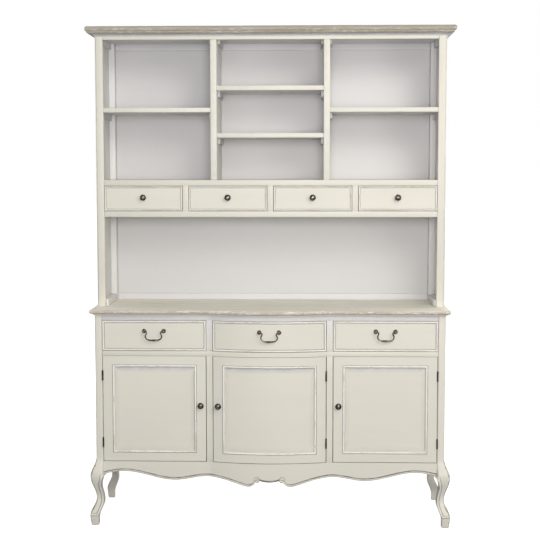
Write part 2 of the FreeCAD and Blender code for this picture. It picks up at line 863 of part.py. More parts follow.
def cornice_top():
    """Limed top board with a round nose over an ovolo."""
    nose = round_nose(cornice_nose_radius, total_height)
    start = total_height - 2 * cornice_nose_radius
    profile = nose[:-1] + ovolo(cornice_ovolo_start, cornice_ovolo_reach, start, start - hutch_top)
    front = hutch_front - cornice_overhang
    return moulded_slab(hutch_half + cornice_overhang, front, base_depth, False, profile)


def cornice_moulding():
    """Painted cove under the top on three sides, frieze rail between the posts and ceiling behind it."""
    profile = cove(cove_start, cornice_overhang - cove_start, hutch_top, cove_height)
    reach = hutch_half + cornice_overhang
    forward = hutch_front - cornice_overhang
    solid = moulded_slab(reach, forward, base_depth, False, profile)
    low = hutch_top - cove_height
    front = solid.common(board(-reach, reach, forward, hutch_front, low, hutch_top))
    side = solid.common(board(hutch_half, reach, hutch_front, base_depth, low, hutch_top))
    rail = hutch_piece(-hutch_inner, hutch_inner, frieze_under, hutch_top, 0, frieze_thickness)
    half = notched_board(0, hutch_front + frieze_thickness, ceiling_under, hutch_top, hutch_rail_inner)
    ceiling = half.fuse(mirrored(half)).removeSplitter()
    return group(front.Solids + side.Solids + mirrored(side).Solids + [rail, ceiling])


def hutch_dividers():
    """Upright dividers, notched at the top behind the frieze rail."""
    frieze_back = hutch_front + frieze_thickness
    outline = [(hutch_front, deck_top), (hutch_back_face, deck_top), (hutch_back_face, ceiling_under),
               (frieze_back, ceiling_under), (frieze_back, frieze_under), (hutch_front, frieze_under)]
    corners = [vec(divider_inner, y, z) for y, z in outline]
    divider = Part.Face(Part.makePolygon(corners + corners[:1])).extrude(vec(divider_thickness, 0, 0))
    return group([divider, mirrored(divider)])


def notched_board(x0, front, z0, z1, reach):
    """Board from x0 to the right side, notched round the post and the back stile between which it reaches."""
    return plate([(x0, front), (hutch_inner, front), (hutch_inner, hutch_post_back),
                  (reach, hutch_post_back), (reach, hutch_stile_front),
                  (hutch_frame_inner, hutch_stile_front), (hutch_frame_inner, hutch_back_face),
                  (x0, hutch_back_face)], z0, z1)


def hutch_shelves():
    """One shelf in each side bay and two in the middle."""
    front = hutch_front + shelf_setback
    side = notched_board(divider_outer, front, side_shelf_top - shelf_thickness, side_shelf_top,
                         hutch_panel_inner)
    middle = [board(-divider_inner, divider_inner, front, hutch_back_face, top - shelf_thickness, top)
              for top in (upper_shelf_top, lower_shelf_top)]
    return group([side, mirrored(side)] + middle)


def hutch_drawer_case():
    """Deck over the drawers, floor under them and the partitions between."""
    pieces = []
    for z0, z1 in ((drawer_roof, deck_top), (case_under, case_floor)):
        half = notched_board(0, hutch_front, z0, z1, hutch_panel_inner)
        pieces.append(half.fuse(mirrored(half)).removeSplitter())
    for index in (1, 2, 3):
        x0 = hutch_drawer_span(index)[1]
        pieces.append(hutch_block(x0, x0 + hutch_drawer_stile, case_floor, drawer_roof, 0, hutch_back_face))
    return group(pieces)


def shelf_cleats():
    """Battens under the ends of the shelves and of the top."""
    y0 = hutch_post_back + cleat_setback
    side_under = side_shelf_top - shelf_thickness
    places = [(hutch_panel_inner - cleat_thickness, side_under), (divider_outer, side_under),
              (divider_outer, ceiling_under)]
    for top in (upper_shelf_top - shelf_thickness, lower_shelf_top - shelf_thickness, ceiling_under):
        places.append((divider_inner - cleat_thickness, top))
    cleats = [board(x, x + cleat_thickness, y0, hutch_stile_front, top - cleat_height, top)
              for x, top in places]
    return group(cleats + [mirrored(cleat) for cleat in cleats])


def hutch_fixing_plates():
    """Two steel plates with their screws, across the joint between hutch and base."""
    low = counter_under - plate_below
    high = counter_height + hutch_back_bottom_rail
    outer = board_back + plate_thickness
    pieces = []
    for x in (-plate_x, plate_x):
        pieces.append(board(x - plate_width / 2, x + plate_width / 2, board_back, outer, low, high))
        for side in (-1, 1):
            for z in (low + plate_screw_inset, high - plate_screw_inset):
                seat = vec(x + side * (plate_width / 2 - plate_screw_inset), outer, z)
                pieces.append(Part.makeCylinder(screw_head_radius, screw_head_height, seat, vec(0, 1, 0)))
    return group(pieces)


def fixed_pieces():
    """Every piece that stands still, by node name."""
    front_leg = right_leg(True)
    back_leg = right_leg(False)
    base_side = right_base_side()
    hutch_side = right_hutch_side()
    return {"front_left_leg": mirrored(front_leg), "front_right_leg": front_leg,
            "back_legs": group([back_leg, mirrored(back_leg)]),
            "base_left_side": mirrored(base_side), "base_right_side": base_side,
            "base_back_panel": base_back_panel(), "face_frame": face_frame(), "front_apron": front_apron(),
            "cupboard_carcass": cupboard_carcass(), "cupboard_shelves": cupboard_shelves(),
            "drawer_runners": drawer_runners(), "counter_top": counter_top(),
            "door_hinge_leaves": door_hinge_leaves(), "door_catches": door_catches(),
            "hutch_left_side": mirrored(hutch_side), "hutch_right_side": hutch_side,
            "hutch_back": hutch_back(), "cornice_top": cornice_top(), "cornice_moulding": cornice_moulding(),
            "hutch_dividers": hutch_dividers(), "hutch_shelves": hutch_shelves(),
            "hutch_drawer_case": hutch_drawer_case(), "shelf_cleats": shelf_cleats(),
            "hutch_fixing_plates": hutch_fixing_plates()}


def moving_pieces():
    """Every piece of the drawers and doors, by node name."""
    pieces = {}
    for name in DOOR_GAPS:
        front, box = base_drawer(name)
        pieces.update({f"{name}_drawer_front": front, f"{name}_drawer_box": box,
                       f"{name}_handle_posts": handle_posts(name), f"{name}_bail": bail(name),
                       f"{name}_door_frame": door_frame(name), f"{name}_door_panel": door_panel(name),
                       f"{name}_door_knob": door_knob(name), f"{name}_door_fittings": door_fittings(name)})
    for index in (1, 2, 3, 4):
        front, box, pull = hutch_drawer(index)
        pieces.update({f"hutch_drawer_{index}_front": front, f"hutch_drawer_{index}_box": box,
                       f"hutch_drawer_{index}_knob": pull})
    return pieces


os.makedirs("parts", exist_ok=True)
for node, shape in {**fixed_pieces(), **moving_pieces()}.items():
    shape.translate(vec(0, -origin_y, 0))
    shape.exportStep(f"parts/{node}.step")
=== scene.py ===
"""Looks of a painted dresser: a bow-fronted base on cabriole legs and an open hutch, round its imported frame.

Lengths are in metres in the frame's own axes: X to the right, the front faces -Y and Z is up.
"""

import json
import logging
import math
from contextlib import contextmanager
from dataclasses import dataclass
from enum import Enum
from typing import Any, Callable, Iterator, Sequence

import bmesh
import bpy
import numpy as np
from mathutils import Matrix, Vector


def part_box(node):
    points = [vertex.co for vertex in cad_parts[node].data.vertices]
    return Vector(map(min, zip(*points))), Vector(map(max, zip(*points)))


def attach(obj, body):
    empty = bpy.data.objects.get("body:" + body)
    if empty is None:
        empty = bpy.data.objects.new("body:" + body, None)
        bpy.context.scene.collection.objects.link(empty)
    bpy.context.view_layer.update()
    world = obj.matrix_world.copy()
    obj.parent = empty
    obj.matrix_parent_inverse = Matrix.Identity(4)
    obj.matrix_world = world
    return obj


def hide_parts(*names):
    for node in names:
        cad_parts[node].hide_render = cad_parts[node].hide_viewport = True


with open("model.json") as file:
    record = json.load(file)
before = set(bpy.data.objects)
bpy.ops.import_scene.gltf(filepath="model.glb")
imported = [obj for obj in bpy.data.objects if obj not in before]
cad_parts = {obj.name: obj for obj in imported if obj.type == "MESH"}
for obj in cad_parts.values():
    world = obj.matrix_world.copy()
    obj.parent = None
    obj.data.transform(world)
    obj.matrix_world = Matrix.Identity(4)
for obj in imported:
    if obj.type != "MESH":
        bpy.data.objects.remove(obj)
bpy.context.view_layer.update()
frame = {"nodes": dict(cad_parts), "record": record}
MM = 0.001
WELD = 1e-6
NEAR = 1e-5
SHALLOW = 0.2 * MM

log = logging.getLogger("dresser")

Colour = tuple[float, float, float]
Point = tuple[float, float, float]
Step = tuple[float, float]
Span = tuple[float, ...]


class Tint(Enum):
    """Layers of age, colour and painted light that a piece carries on its faces, read by the finishes: on the paint
    the glaze also paints shade, the rubbing also paints highlights and the inside grey also paints shade; on the
    limed wood the glaze layer marks barer edges.
    """

    GLAZE = "glaze"
    RUB = "rub"
    INSIDE = "inside"


class Part(Enum):
    """What an operator selects."""

    VERTEX = "VERT"
    EDGE = "EDGE"
    FACE = "FACE"


class Bay(Enum):
    """The three bays of the base, by the names of their bodies."""

    LEFT = "left"
    CENTRE = "centre"
    RIGHT = "right"


# Shader maths

class Value:
    """A number socket of a material, on which Python operators add Math nodes."""

    def __init__(self, shop: "NodeShop", socket: bpy.types.NodeSocket) -> None:
        """Wraps one output socket."""
        self.shop = shop
        self.socket = socket

    def math(self, operation: str, first: Any, second: Any = 0.0) -> "Value":
        """Adds a Math node.

        Args:
            operation: Blender's name of the operation.
            first: Value or number in the first socket.
            second: Value or number in the second socket.

        Returns:
            The node's result.
        """
        node = self.shop.node("ShaderNodeMath", {"operation": operation}, {0: first, 1: second})
        return Value(self.shop, node.outputs[0])

    def __add__(self, other: Any) -> "Value":
        """Self plus other."""
        return self.math("ADD", self, other)

    def __radd__(self, other: Any) -> "Value":
        """Other plus self."""
        return self.math("ADD", other, self)

    def __sub__(self, other: Any) -> "Value":
        """Self minus other."""
        return self.math("SUBTRACT", self, other)

    def __rsub__(self, other: Any) -> "Value":
        """Other minus self."""
        return self.math("SUBTRACT", other, self)

    def __mul__(self, other: Any) -> "Value":
        """Self times other."""
        return self.math("MULTIPLY", self, other)

    def __rmul__(self, other: Any) -> "Value":
        """Other times self."""
        return self.math("MULTIPLY", other, self)

    def between(self, low: float, high: float) -> "Value":
        """Smooth step from 0 at low to 1 at high."""
        node = self.shop.node("ShaderNodeMapRange", {"interpolation_type": "SMOOTHSTEP"},
                              {"Value": self, "From Min": low, "From Max": high})
        return Value(self.shop, node.outputs["Result"])


class NodeShop:
    """Builds the node tree of one material, or of the surround."""

    def __init__(self, holder: bpy.types.Material | bpy.types.World) -> None:
        """Starts with an empty tree.

        Args:
            holder: The material or the surround.
        """
        self.holder = holder
        holder.use_nodes = True
        self.tree = holder.node_tree
        self.tree.nodes.clear()
        self.place = self.node("ShaderNodeTexCoord").outputs["Object"]

    @classmethod
    def start(cls, name: str) -> "NodeShop":
        """Starts a new material."""
        return cls(bpy.data.materials.new(name))

    def node(self, kind: str, settings: dict[str, Any] | None = None,
             inputs: dict[Any, Any] | None = None) -> bpy.types.Node:
        """Adds any node.

        Args:
            kind: Blender's type name of the node.
            settings: Properties of the node, set first; "stops" holds a ramp's places and colours.
            inputs: Values, sockets or constants by socket name or number.

        Returns:
            The new node.
        """
        node = self.tree.nodes.new(kind)
        for key, value in (settings or {}).items():
            if key == "stops":
                self.set_stops(node.color_ramp, value)
            else:
                setattr(node, key, value)
        for key, value in (inputs or {}).items():
            if isinstance(value, Value):
                value = value.socket
            if isinstance(value, bpy.types.NodeSocket):
                self.tree.links.new(value, node.inputs[key])
            else:
                node.inputs[key].default_value = value
        return node

    @staticmethod
    def set_stops(ramp: bpy.types.ColorRamp, stops: Sequence[tuple[float, Colour]]) -> None:
        """Gives a ramp its places and colours.

        Args:
            ramp: The ramp of a node.
            stops: Pairs of place and colour, from low to high.
        """
        while len(ramp.elements) < len(stops):
            ramp.elements.new(0.5)
        for element, (place, colour) in zip(ramp.elements, stops):
            element.position = place
            element.color = (*colour, 1.0)

    def noise(self, scale: float, stretch: Point = (1.0, 1.0, 1.0), detail: float = 3.0,
              rough: float = 0.55, shift: float = 0.0, twist: float = 0.0) -> Value:
        """Noise on the object's own coordinates.

        Args:
            scale: Cells to the metre.
            stretch: Factors of the three axes.
            detail: Octaves.
            rough: Weight of the finer octaves.
            shift: Moves the pattern, so that two layers differ.
            twist: Distortion of the cells.

        Returns:
            A value around 0.5.
        """
        mapping = self.node("ShaderNodeMapping", {},
                            {"Vector": self.place, "Location": (shift,) * 3, "Scale": stretch})
        node = self.node("ShaderNodeTexNoise", {},
                         {"Vector": mapping.outputs[0], "Scale": scale, "Detail": detail,
                          "Roughness": rough, "Distortion": twist})
        return Value(self, node.outputs["Fac"])

    def tint(self, tint: Tint) -> Value:
        """The strength of one layer of age on the piece's faces."""
        node = self.node("ShaderNodeAttribute", {"attribute_name": tint.value})
        return Value(self, node.outputs["Fac"])

    def blend(self, share: Any, first: Any, second: Any) -> bpy.types.NodeSocket:
        """Colour between two others.

        Args:
            share: Value or number that picks the place between them.
            first: Colour or socket at share 0.
            second: Colour or socket at share 1.

        Returns:
            The colour's socket.
        """
        colours = [(*c, 1.0) if isinstance(c, tuple) else c for c in (first, second)]
        node = self.node("ShaderNodeMix", {"data_type": "RGBA"}, {0: share, 6: colours[0], 7: colours[1]})
        return node.outputs[2]

    def ramp(self, value: Value, stops: Sequence[tuple[float, Colour]]) -> bpy.types.NodeSocket:
        """Colour picked by a value from a row of stops."""
        return self.node("ShaderNodeValToRGB", {"stops": stops}, {"Fac": value}).outputs["Color"]

    def bump(self, height: Value, depth: float) -> bpy.types.NodeSocket:
        """Normal of a surface raised by height times depth in metres."""
        node = self.node("ShaderNodeBump", {}, {"Height": height, "Distance": depth, "Strength": 1.0})
        return node.outputs["Normal"]

    def finish(self, inputs: dict[str, Any]) -> bpy.types.Material:
        """Closes the tree with one Principled shader.

        Args:
            inputs: Sockets and constants of the shader.

        Returns:
            The material.
        """
        shader = self.node("ShaderNodeBsdfPrincipled", {}, inputs)
        self.node("ShaderNodeOutputMaterial", {}, {"Surface": shader.outputs[0]})
        return self.holder


# Finishes

@dataclass(frozen=True)
class Paint:
    """Satin paint with a tan glaze left in its grooves, rubbed pale on its raised edges, greyer on the inside; the
    glaze and the grey also paint shade, and the pale rubbing also paints highlights.
    """

    name: str
    coat: Colour
    shade: Colour
    # the inside, glaze and rub colours also serve as painted shade and painted highlights
    inside: Colour = (0.745, 0.732, 0.728)
    glaze: Colour = (0.150, 0.126, 0.090)
    rub: Colour = (0.930, 0.918, 0.885)
    roughness: float = 0.48

    def material(self) -> bpy.types.Material:
        """The paint in nodes.

        Returns:
            The material.
        """
        shop = NodeShop.start(self.name)
        cloud = shop.noise(2.3, detail=4.0, shift=3.1)
        fine = shop.noise(150.0, detail=2.0, shift=7.0)
        brush = shop.noise(26.0, stretch=(0.12, 1.0, 1.0), detail=4.0, shift=1.7)
        body = shop.blend((cloud * 0.6 + brush * 0.4).between(0.32, 0.74), self.coat, self.shade)
        body = shop.blend(shop.tint(Tint.INSIDE), body, self.inside)
        worn = shop.noise(38.0, detail=4.0, rough=0.62, shift=5.3)
        patches = shop.noise(7.0, detail=2.0, shift=9.2)
        # the glaze darkens as glaze and as painted shade; the rubbing lightens as wear and as a painted highlight
        glazed_and_shaded = shop.tint(Tint.GLAZE) * (0.45 + 0.55 * (worn * 0.65 + patches * 0.35).between(0.30, 0.62))
        rubbed_and_highlit = shop.tint(Tint.RUB) * (worn * 0.5 + patches * 0.5).between(0.38, 0.60)
        colour = shop.blend(glazed_and_shaded, body, self.glaze)
        colour = shop.blend(rubbed_and_highlit, colour, self.rub)
        grain = brush * 0.7 + fine * 0.3
        return shop.finish({"Base Color": colour, "Roughness": self.roughness + 0.16 * (grain - 0.5),
                            "Normal": shop.bump(grain, 0.35 * MM), "Specular IOR Level": 0.42,
                            "Coat Roughness": 0.35})


@dataclass(frozen=True)
class LimedWood:
    """Open-grained wood with lime rubbed into its pores, its grain along X, barer on its moulded edge."""

    name: str
    dark: Colour
    body: Colour
    pale: Colour
    lime: Colour
    bare: Colour
    roughness: float = 0.62

    def material(self) -> bpy.types.Material:
        """The wood in nodes.

        Returns:
            The material.
        """
        shop = NodeShop.start(self.name)
        bands = shop.noise(5.0, stretch=(0.16, 2.4, 2.4), detail=5.0, rough=0.6, twist=0.6)
        streak = shop.noise(30.0, stretch=(0.06, 2.2, 2.2), detail=5.0, rough=0.62, shift=2.3)
        pores = shop.noise(120.0, stretch=(0.035, 3.0, 3.0), detail=2.0, shift=4.4)
        patches = shop.noise(4.0, stretch=(0.8, 2.0, 2.0), detail=3.0, shift=8.8)
        colour = shop.ramp(bands * 0.55 + streak * 0.45,
                           [(0.30, self.dark), (0.45, self.body), (0.57, self.pale), (0.72, self.body)])
        limed = (pores * 0.5 + patches * 0.5).between(0.44, 0.66) * 0.75
        colour = shop.blend(limed, colour, self.lime)
        worn = shop.noise(24.0, stretch=(0.22, 4.0, 4.0), detail=5.0, rough=0.65, shift=6.1)
        colour = shop.blend(shop.tint(Tint.GLAZE) * worn.between(0.28, 0.56), colour, self.bare)
        flecks = shop.noise(60.0, stretch=(0.7, 4.5, 4.5), detail=3.0, shift=12.7)
        colour = shop.blend(shop.tint(Tint.RUB) * (flecks * 0.6 + worn * 0.4).between(0.50, 0.62), colour, self.lime)
        height = streak * 0.5 + pores * 0.5
        return shop.finish({"Base Color": colour, "Roughness": self.roughness + 0.2 * (0.5 - limed * 0.5),
                            "Normal": shop.bump(height, 0.6 * MM), "Specular IOR Level": 0.3})


@dataclass(frozen=True)
class PlainWood:
    """Plain sealed wood of the boxes and the inside, its grain along one axis."""

    name: str
    dark: Colour
    pale: Colour
    stretch: Point = (0.08, 1.6, 1.6)
    roughness: float = 0.55

    def material(self) -> bpy.types.Material:
        """The wood in nodes.

        Returns:
            The material.
        """
        shop = NodeShop.start(self.name)
        bands = shop.noise(9.0, stretch=self.stretch, detail=4.0, rough=0.6, twist=0.8)
        pores = shop.noise(80.0, stretch=self.stretch, detail=3.0, shift=2.0)
        colour = shop.blend((bands * 0.7 + pores * 0.3).between(0.34, 0.68), self.pale, self.dark)
        return shop.finish({"Base Color": colour, "Roughness": self.roughness + 0.15 * (pores - 0.5),
                            "Normal": shop.bump(pores, 0.3 * MM), "Specular IOR Level": 0.35})


@dataclass(frozen=True)
class AgedMetal:
    """Cast metal, dark in its hollows and rubbed brighter elsewhere; the rubbing also paints a highlight on the
    tips.
    """

    name: str
    dark: Colour
    bright: Colour
    roughness: float = 0.38

    def material(self) -> bpy.types.Material:
        """The metal in nodes.

        Returns:
            The material.
        """
        shop = NodeShop.start(self.name)
        cloud = shop.noise(140.0, detail=4.0, rough=0.6)
        pits = shop.noise(900.0, detail=2.0, shift=3.0)
        share = (cloud - shop.tint(Tint.GLAZE) * 0.35 + shop.tint(Tint.RUB) * 0.3).between(0.40, 0.66)
        colour = shop.blend(share, self.dark, self.bright)
        return shop.finish({"Base Color": colour, "Metallic": 1.0,
                            "Roughness": self.roughness + 0.22 * (0.6 - share),
                            "Normal": shop.bump(pits * 0.5 + cloud * 0.5, 0.12 * MM)})


FINISHES = {finish.name: finish for finish in (
    Paint("cream_paint", coat=(0.760, 0.729, 0.642), shade=(0.728, 0.699, 0.618)),
    Paint("back_paint", coat=(0.688, 0.676, 0.682), shade=(0.666, 0.655, 0.662)),
    LimedWood("limed_wood", dark=(0.625, 0.560, 0.440), body=(0.830, 0.805, 0.675),
              pale=(0.885, 0.868, 0.775), lime=(0.920, 0.902, 0.862), bare=(0.560, 0.450, 0.362)),
    LimedWood("limed_cornice", dark=(0.258, 0.222, 0.168), body=(0.404, 0.368, 0.304),
              pale=(0.475, 0.450, 0.390), lime=(0.625, 0.612, 0.560), bare=(0.385, 0.336, 0.264)),
    PlainWood("plain_wood", dark=(0.420, 0.300, 0.185), pale=(0.600, 0.470, 0.320)),
    AgedMetal("pewter", dark=(0.052, 0.045, 0.036), bright=(0.260, 0.236, 0.200)),
    AgedMetal("hinge_metal", dark=(0.040, 0.034, 0.028), bright=(0.150, 0.135, 0.115)),
    AgedMetal("zinc_steel", dark=(0.420, 0.430, 0.440), bright=(0.620, 0.630, 0.640)))}


class Finisher:
    """Makes each finish's material once."""

    def __init__(self) -> None:
        """Starts with no material made."""
        self.made: dict[str, bpy.types.Material] = {}

    def material(self, name: str) -> bpy.types.Material:
        """The material of a finish.

        Args:
            name: Name of the finish.

        Returns:
            The material, made at the first call.
        """
        if name not in self.made:
            self.made[name] = FINISHES[name].material()
        return self.made[name]


finisher = Finisher()


# Workbench

class Piece:
    """One mesh on the bench, shaped in edit mode with operators."""

    def __init__(self, obj: bpy.types.Object, name: str) -> None:
        """Takes an object that was just added and names it."""
        obj.name = name
        obj.data.name = name
        self.obj = obj

    @staticmethod
    def clear() -> None:
        """Deselects everything, so that an operator meets only the new piece."""
        bpy.ops.object.select_all(action="DESELECT")

    @classmethod
    def box(cls, name: str, low: Sequence[float], high: Sequence[float]) -> "Piece":
        """Starts a piece from a cube between two corners.

        Args:
            name: Name of the piece.
            low: Lowest corner.
            high: Highest corner.

        Returns:
            The piece.
        """
        cls.clear()
        middle = [(a + b) / 2 for a, b in zip(low, high)]
        size = [b - a for a, b in zip(low, high)]
        bpy.ops.mesh.primitive_cube_add(size=1.0, location=middle, scale=size)
        bpy.ops.object.transform_apply(location=True, rotation=True, scale=True)
        return cls(bpy.context.object, name)

    @classmethod
    def plate(cls, name: str, low: Sequence[float], high: Sequence[float], columns: int = 1) -> "Piece":
        """Starts a piece from a level grid between two corners.

        Args:
            name: Name of the piece.
            low: Lowest corner, whose height the grid has.
            high: Highest corner.
            columns: Cells along X.

        Returns:
            The piece.
        """
        cls.clear()
        bpy.ops.mesh.primitive_grid_add(x_subdivisions=columns, y_subdivisions=1, size=1.0,
                                        location=((low[0] + high[0]) / 2, (low[1] + high[1]) / 2, low[2]))
        bpy.context.object.scale = (high[0] - low[0], high[1] - low[1], 1.0)
        bpy.ops.object.transform_apply(location=True, rotation=True, scale=True)
        return cls(bpy.context.object, name)

    @classmethod
    def stepped(cls, name: str, half: float, depth: Step, profile: Sequence[Step], columns: int = 1) -> "Piece":
        """Starts a piece from a board drawn up step by step along a profile, with a straight back.

        Args:
            name: Name of the piece.
            half: Half of the board's full width.
            depth: Y of its full front and of its back.
            profile: Pairs of inset from the front and the ends, and height, from the underside up.
            columns: Cells along X.

        Returns:
            The piece.
        """
        front, back = depth
        inset, level = profile[0]
        piece = cls.plate(name, (-half + inset, front + inset, level), (half - inset, back, level), columns)
        with piece.editing(Part.FACE):
            bpy.ops.mesh.select_all(action="SELECT")
            for (i0, z0), (i1, z1) in zip(profile, profile[1:]):
                bpy.ops.mesh.extrude_region_move(TRANSFORM_OT_translate={"value": (0.0, 0.0, z1 - z0)})
                ratio = ((half - i1) / (half - i0), (back - front - i1) / (back - front - i0), 1.0)
                bpy.ops.transform.resize(value=ratio, center_override=(0.0, back, z1))
        return piece.weld()

    @classmethod
    def sheet(cls, name: str, columns: int, rows: int, place: Callable[[float, float], Point]) -> "Piece":
        """Starts a piece from a grid whose points are laid where place says.

        Args:
            name: Name of the piece.
            columns: Cells along u.
            rows: Cells along v.
            place: Gives the point at u and v, each from 0 to 1.

        Returns:
            The piece.
        """
        cls.clear()
        bpy.ops.mesh.primitive_grid_add(x_subdivisions=columns, y_subdivisions=rows, size=1.0)
        return cls(bpy.context.object, name).move(lambda p: place(p[0] + 0.5, p[1] + 0.5))

    @classmethod
    def tube(cls, name: str, points: Sequence[Point], radii: Sequence[float], smooth: int = 4,
             sides: int = 6) -> "Piece":
        """Starts a piece from a round tube along a smooth line.

        Args:
            name: Name of the piece.
            points: Control points of the line.
            radii: Radius of the tube at each point.
            smooth: Points added along each stretch.
            sides: Half the number of sides of the tube, less two.

        Returns:
            The piece.
        """
        curve = bpy.data.curves.new(name, "CURVE")
        curve.dimensions = "3D"
        curve.bevel_depth = 1.0
        curve.bevel_resolution = sides
        curve.use_fill_caps = True
        curve.resolution_u = smooth
        spline = curve.splines.new("NURBS")
        spline.points.add(len(points) - 1)
        for spot, point, radius in zip(spline.points, points, radii):
            spot.co = (*point, 1.0)
            spot.radius = radius
        spline.order_u = 4
        spline.use_endpoint_u = True
        obj = bpy.data.objects.new(name, curve)
        bpy.context.scene.collection.objects.link(obj)
        cls.clear()
        obj.select_set(True)
        bpy.context.view_layer.objects.active = obj
        bpy.ops.object.convert(target="MESH")
        return cls(bpy.context.object, name).weld()

    @classmethod
    def turned(cls, name: str, profile: Sequence[Step], foot: Sequence[float], steps: int = 40) -> "Piece":
        """Starts a piece by turning a profile about a line towards the front.

        Args:
            name: Name of the piece.
            profile: Pairs of radius and reach forward, from the foot to the tip.
            foot: Where the line starts.
            steps: Sides of the turning.

        Returns:
            The piece.
        """
        cls.clear()
        bpy.ops.mesh.primitive_plane_add(size=1.0)
        piece = cls(bpy.context.object, name)
        with piece.editing(Part.VERTEX) as mesh:
            first = mesh.verts[:][0]
            bmesh.ops.delete(mesh, geom=mesh.verts[1:], context="VERTS")
            first.co = (foot[0] + profile[0][0], foot[1] - profile[0][1], foot[2])
            first.select_set(True)
            bmesh.update_edit_mesh(piece.obj.data)
            for (r0, f0), (r1, f1) in zip(profile, profile[1:]):
                bpy.ops.mesh.extrude_region_move(TRANSFORM_OT_translate={"value": (r1 - r0, f0 - f1, 0.0)})
            bpy.ops.mesh.select_all(action="SELECT")
            bpy.ops.mesh.spin(steps=steps, angle=math.tau, center=tuple(foot), axis=(0.0, 1.0, 0.0))
        return piece.weld()

    def take(self) -> None:
        """Selects this piece alone and makes it the active one."""
        self.clear()
        self.obj.select_set(True)
        bpy.context.view_layer.objects.active = self.obj

    @contextmanager
    def editing(self, part: Part) -> Iterator[bmesh.types.BMesh]:
        """Edit mode with nothing selected.

        Args:
            part: What is to be selected.

        Returns:
            The mesh in edit mode.
        """
        self.take()
        bpy.ops.object.mode_set(mode="EDIT")
        bpy.ops.mesh.select_mode(type=part.value)
        bpy.ops.mesh.select_all(action="DESELECT")
        yield bmesh.from_edit_mesh(self.obj.data)
        bpy.ops.object.mode_set(mode="OBJECT")

    def pick(self, items: Any, test: Callable[[Any], bool]) -> None:
        """Selects what passes a test in the open mesh.

        Args:
            items: The mesh's faces, edges or points.
            test: Says whether one of them is selected.
        """
        for item in items:
            item.select_set(bool(test(item)))
        bmesh.update_edit_mesh(self.obj.data)

    def move(self, place: Callable[[Vector], Sequence[float]]) -> "Piece":
        """Lays every point elsewhere.

        Args:
            place: Gives a point's new place from its old one.

        Returns:
            The piece.
        """
        for vertex in self.obj.data.vertices:
            vertex.co = place(vertex.co.copy())
        self.obj.data.update()
        return self

    def weld(self) -> "Piece":
        """Merges doubled points and turns all faces outwards.

        Returns:
            The piece.
        """
        with self.editing(Part.VERTEX):
            bpy.ops.mesh.select_all(action="SELECT")
            bpy.ops.mesh.remove_doubles(threshold=WELD)
            bpy.ops.mesh.normals_make_consistent(inside=False)
        return self

    def slice(self, axis: int, places: Sequence[float]) -> "Piece":
        """Cuts the mesh into strips without parting it.

        Args:
            axis: Axis across the strips: 0, 1 or 2.
            places: Where along it the cuts are.

        Returns:
            The piece.
        """
        normal = [1.0 if index == axis else 0.0 for index in range(3)]
        with self.editing(Part.FACE):
            for place in places:
                bpy.ops.mesh.select_all(action="SELECT")
                bpy.ops.mesh.bisect(plane_co=[place * n for n in normal], plane_no=normal)
        return self

    def mould(self, test: Callable[[Any], bool], profile: Sequence[Step], drop: bool = False) -> "Piece":
        """Runs a moulding round the inside of the chosen face.

        Args:
            test: Picks the face.
            profile: Pairs of distance from the face's edge and height above the face.
            drop: Whether the field inside the moulding is taken out.

        Returns:
            The piece.
        """
        with self.editing(Part.FACE) as mesh:
            self.pick(mesh.faces, test)
            for (d0, h0), (d1, h1) in zip(profile, profile[1:]):
                bpy.ops.mesh.inset(thickness=d1 - d0, depth=h1 - h0, use_even_offset=True)
            if drop:
                bpy.ops.mesh.delete(type="FACE")
        return self

    def thicken(self, shift: Point) -> "Piece":
        """Draws a sheet out into a solid board.

        Args:
            shift: From the sheet to the board's other face.

        Returns:
            The piece.
        """
        with self.editing(Part.FACE):
            bpy.ops.mesh.select_all(action="SELECT")
            bpy.ops.mesh.extrude_region_move(TRANSFORM_OT_translate={"value": shift})
        return self.weld()

    def soften(self, width: float, angle: float = 30.0) -> "Piece":
        """Rounds every sharp edge with a bevel.

        Args:
            width: Width of the bevel.
            angle: Degrees from which an edge is sharp.

        Returns:
            The piece.
        """
        self.take()
        bevel = self.obj.modifiers.new("soft", "BEVEL")
        bevel.width = width
        bevel.segments = 2
        bevel.limit_method = "ANGLE"
        bevel.angle_limit = math.radians(angle)
        bpy.ops.object.modifier_apply(modifier=bevel.name)
        return self

    def round_edges(self, test: Callable[[Any], bool], radius: float, segments: int = 6) -> "Piece":
        """Rounds chosen edges.

        Args:
            test: Picks the edges.
            radius: Radius of the rounding.
            segments: Faces across it.

        Returns:
            The piece.
        """
        with self.editing(Part.EDGE) as mesh:
            self.pick(mesh.edges, test)
            bpy.ops.mesh.bevel(offset=radius, segments=segments, affect="EDGES", clamp_overlap=True)
        return self

    def smooth(self, angle: float = 32.0) -> "Piece":
        """Shades curved runs smooth and keeps real edges sharp.

        Args:
            angle: Degrees from which an edge stays sharp.

        Returns:
            The piece.
        """
        self.take()
        bpy.ops.object.shade_smooth_by_angle(angle=math.radians(angle))
        return self

    def tint(self, tint: Tint, strength: Callable[[Any], float]) -> "Piece":
        """Stores one layer of age on the faces.

        Args:
            tint: The layer.
            strength: Gives a face's strength from its own place and normal.

        Returns:
            The piece.
        """
        layer = self.obj.data.attributes.get(tint.value)
        if layer is None:
            layer = self.obj.data.attributes.new(tint.value, "FLOAT", "FACE")
        layer.data.foreach_set("value", [strength(face) for face in self.obj.data.polygons])
        return self

    def join(self, others: Sequence["Piece"]) -> "Piece":
        """Takes other pieces into this one.

        Args:
            others: One piece or more.

        Returns:
            The piece.
        """
        self.take()
        for piece in others:
            piece.obj.select_set(True)
        bpy.ops.object.join()
        return self

    def twin(self, name: str) -> "Piece":
        """A second piece with its own mesh, mirrored to the other side.

        Args:
            name: Name of the second piece.

        Returns:
            The second piece.
        """
        twin = self.obj.copy()
        twin.data = self.obj.data.copy()
        bpy.context.scene.collection.objects.link(twin)
        twin.data.transform(Matrix.Scale(-1.0, 4, (1.0, 0.0, 0.0)))
        twin.data.flip_normals()
        return Piece(twin, name)

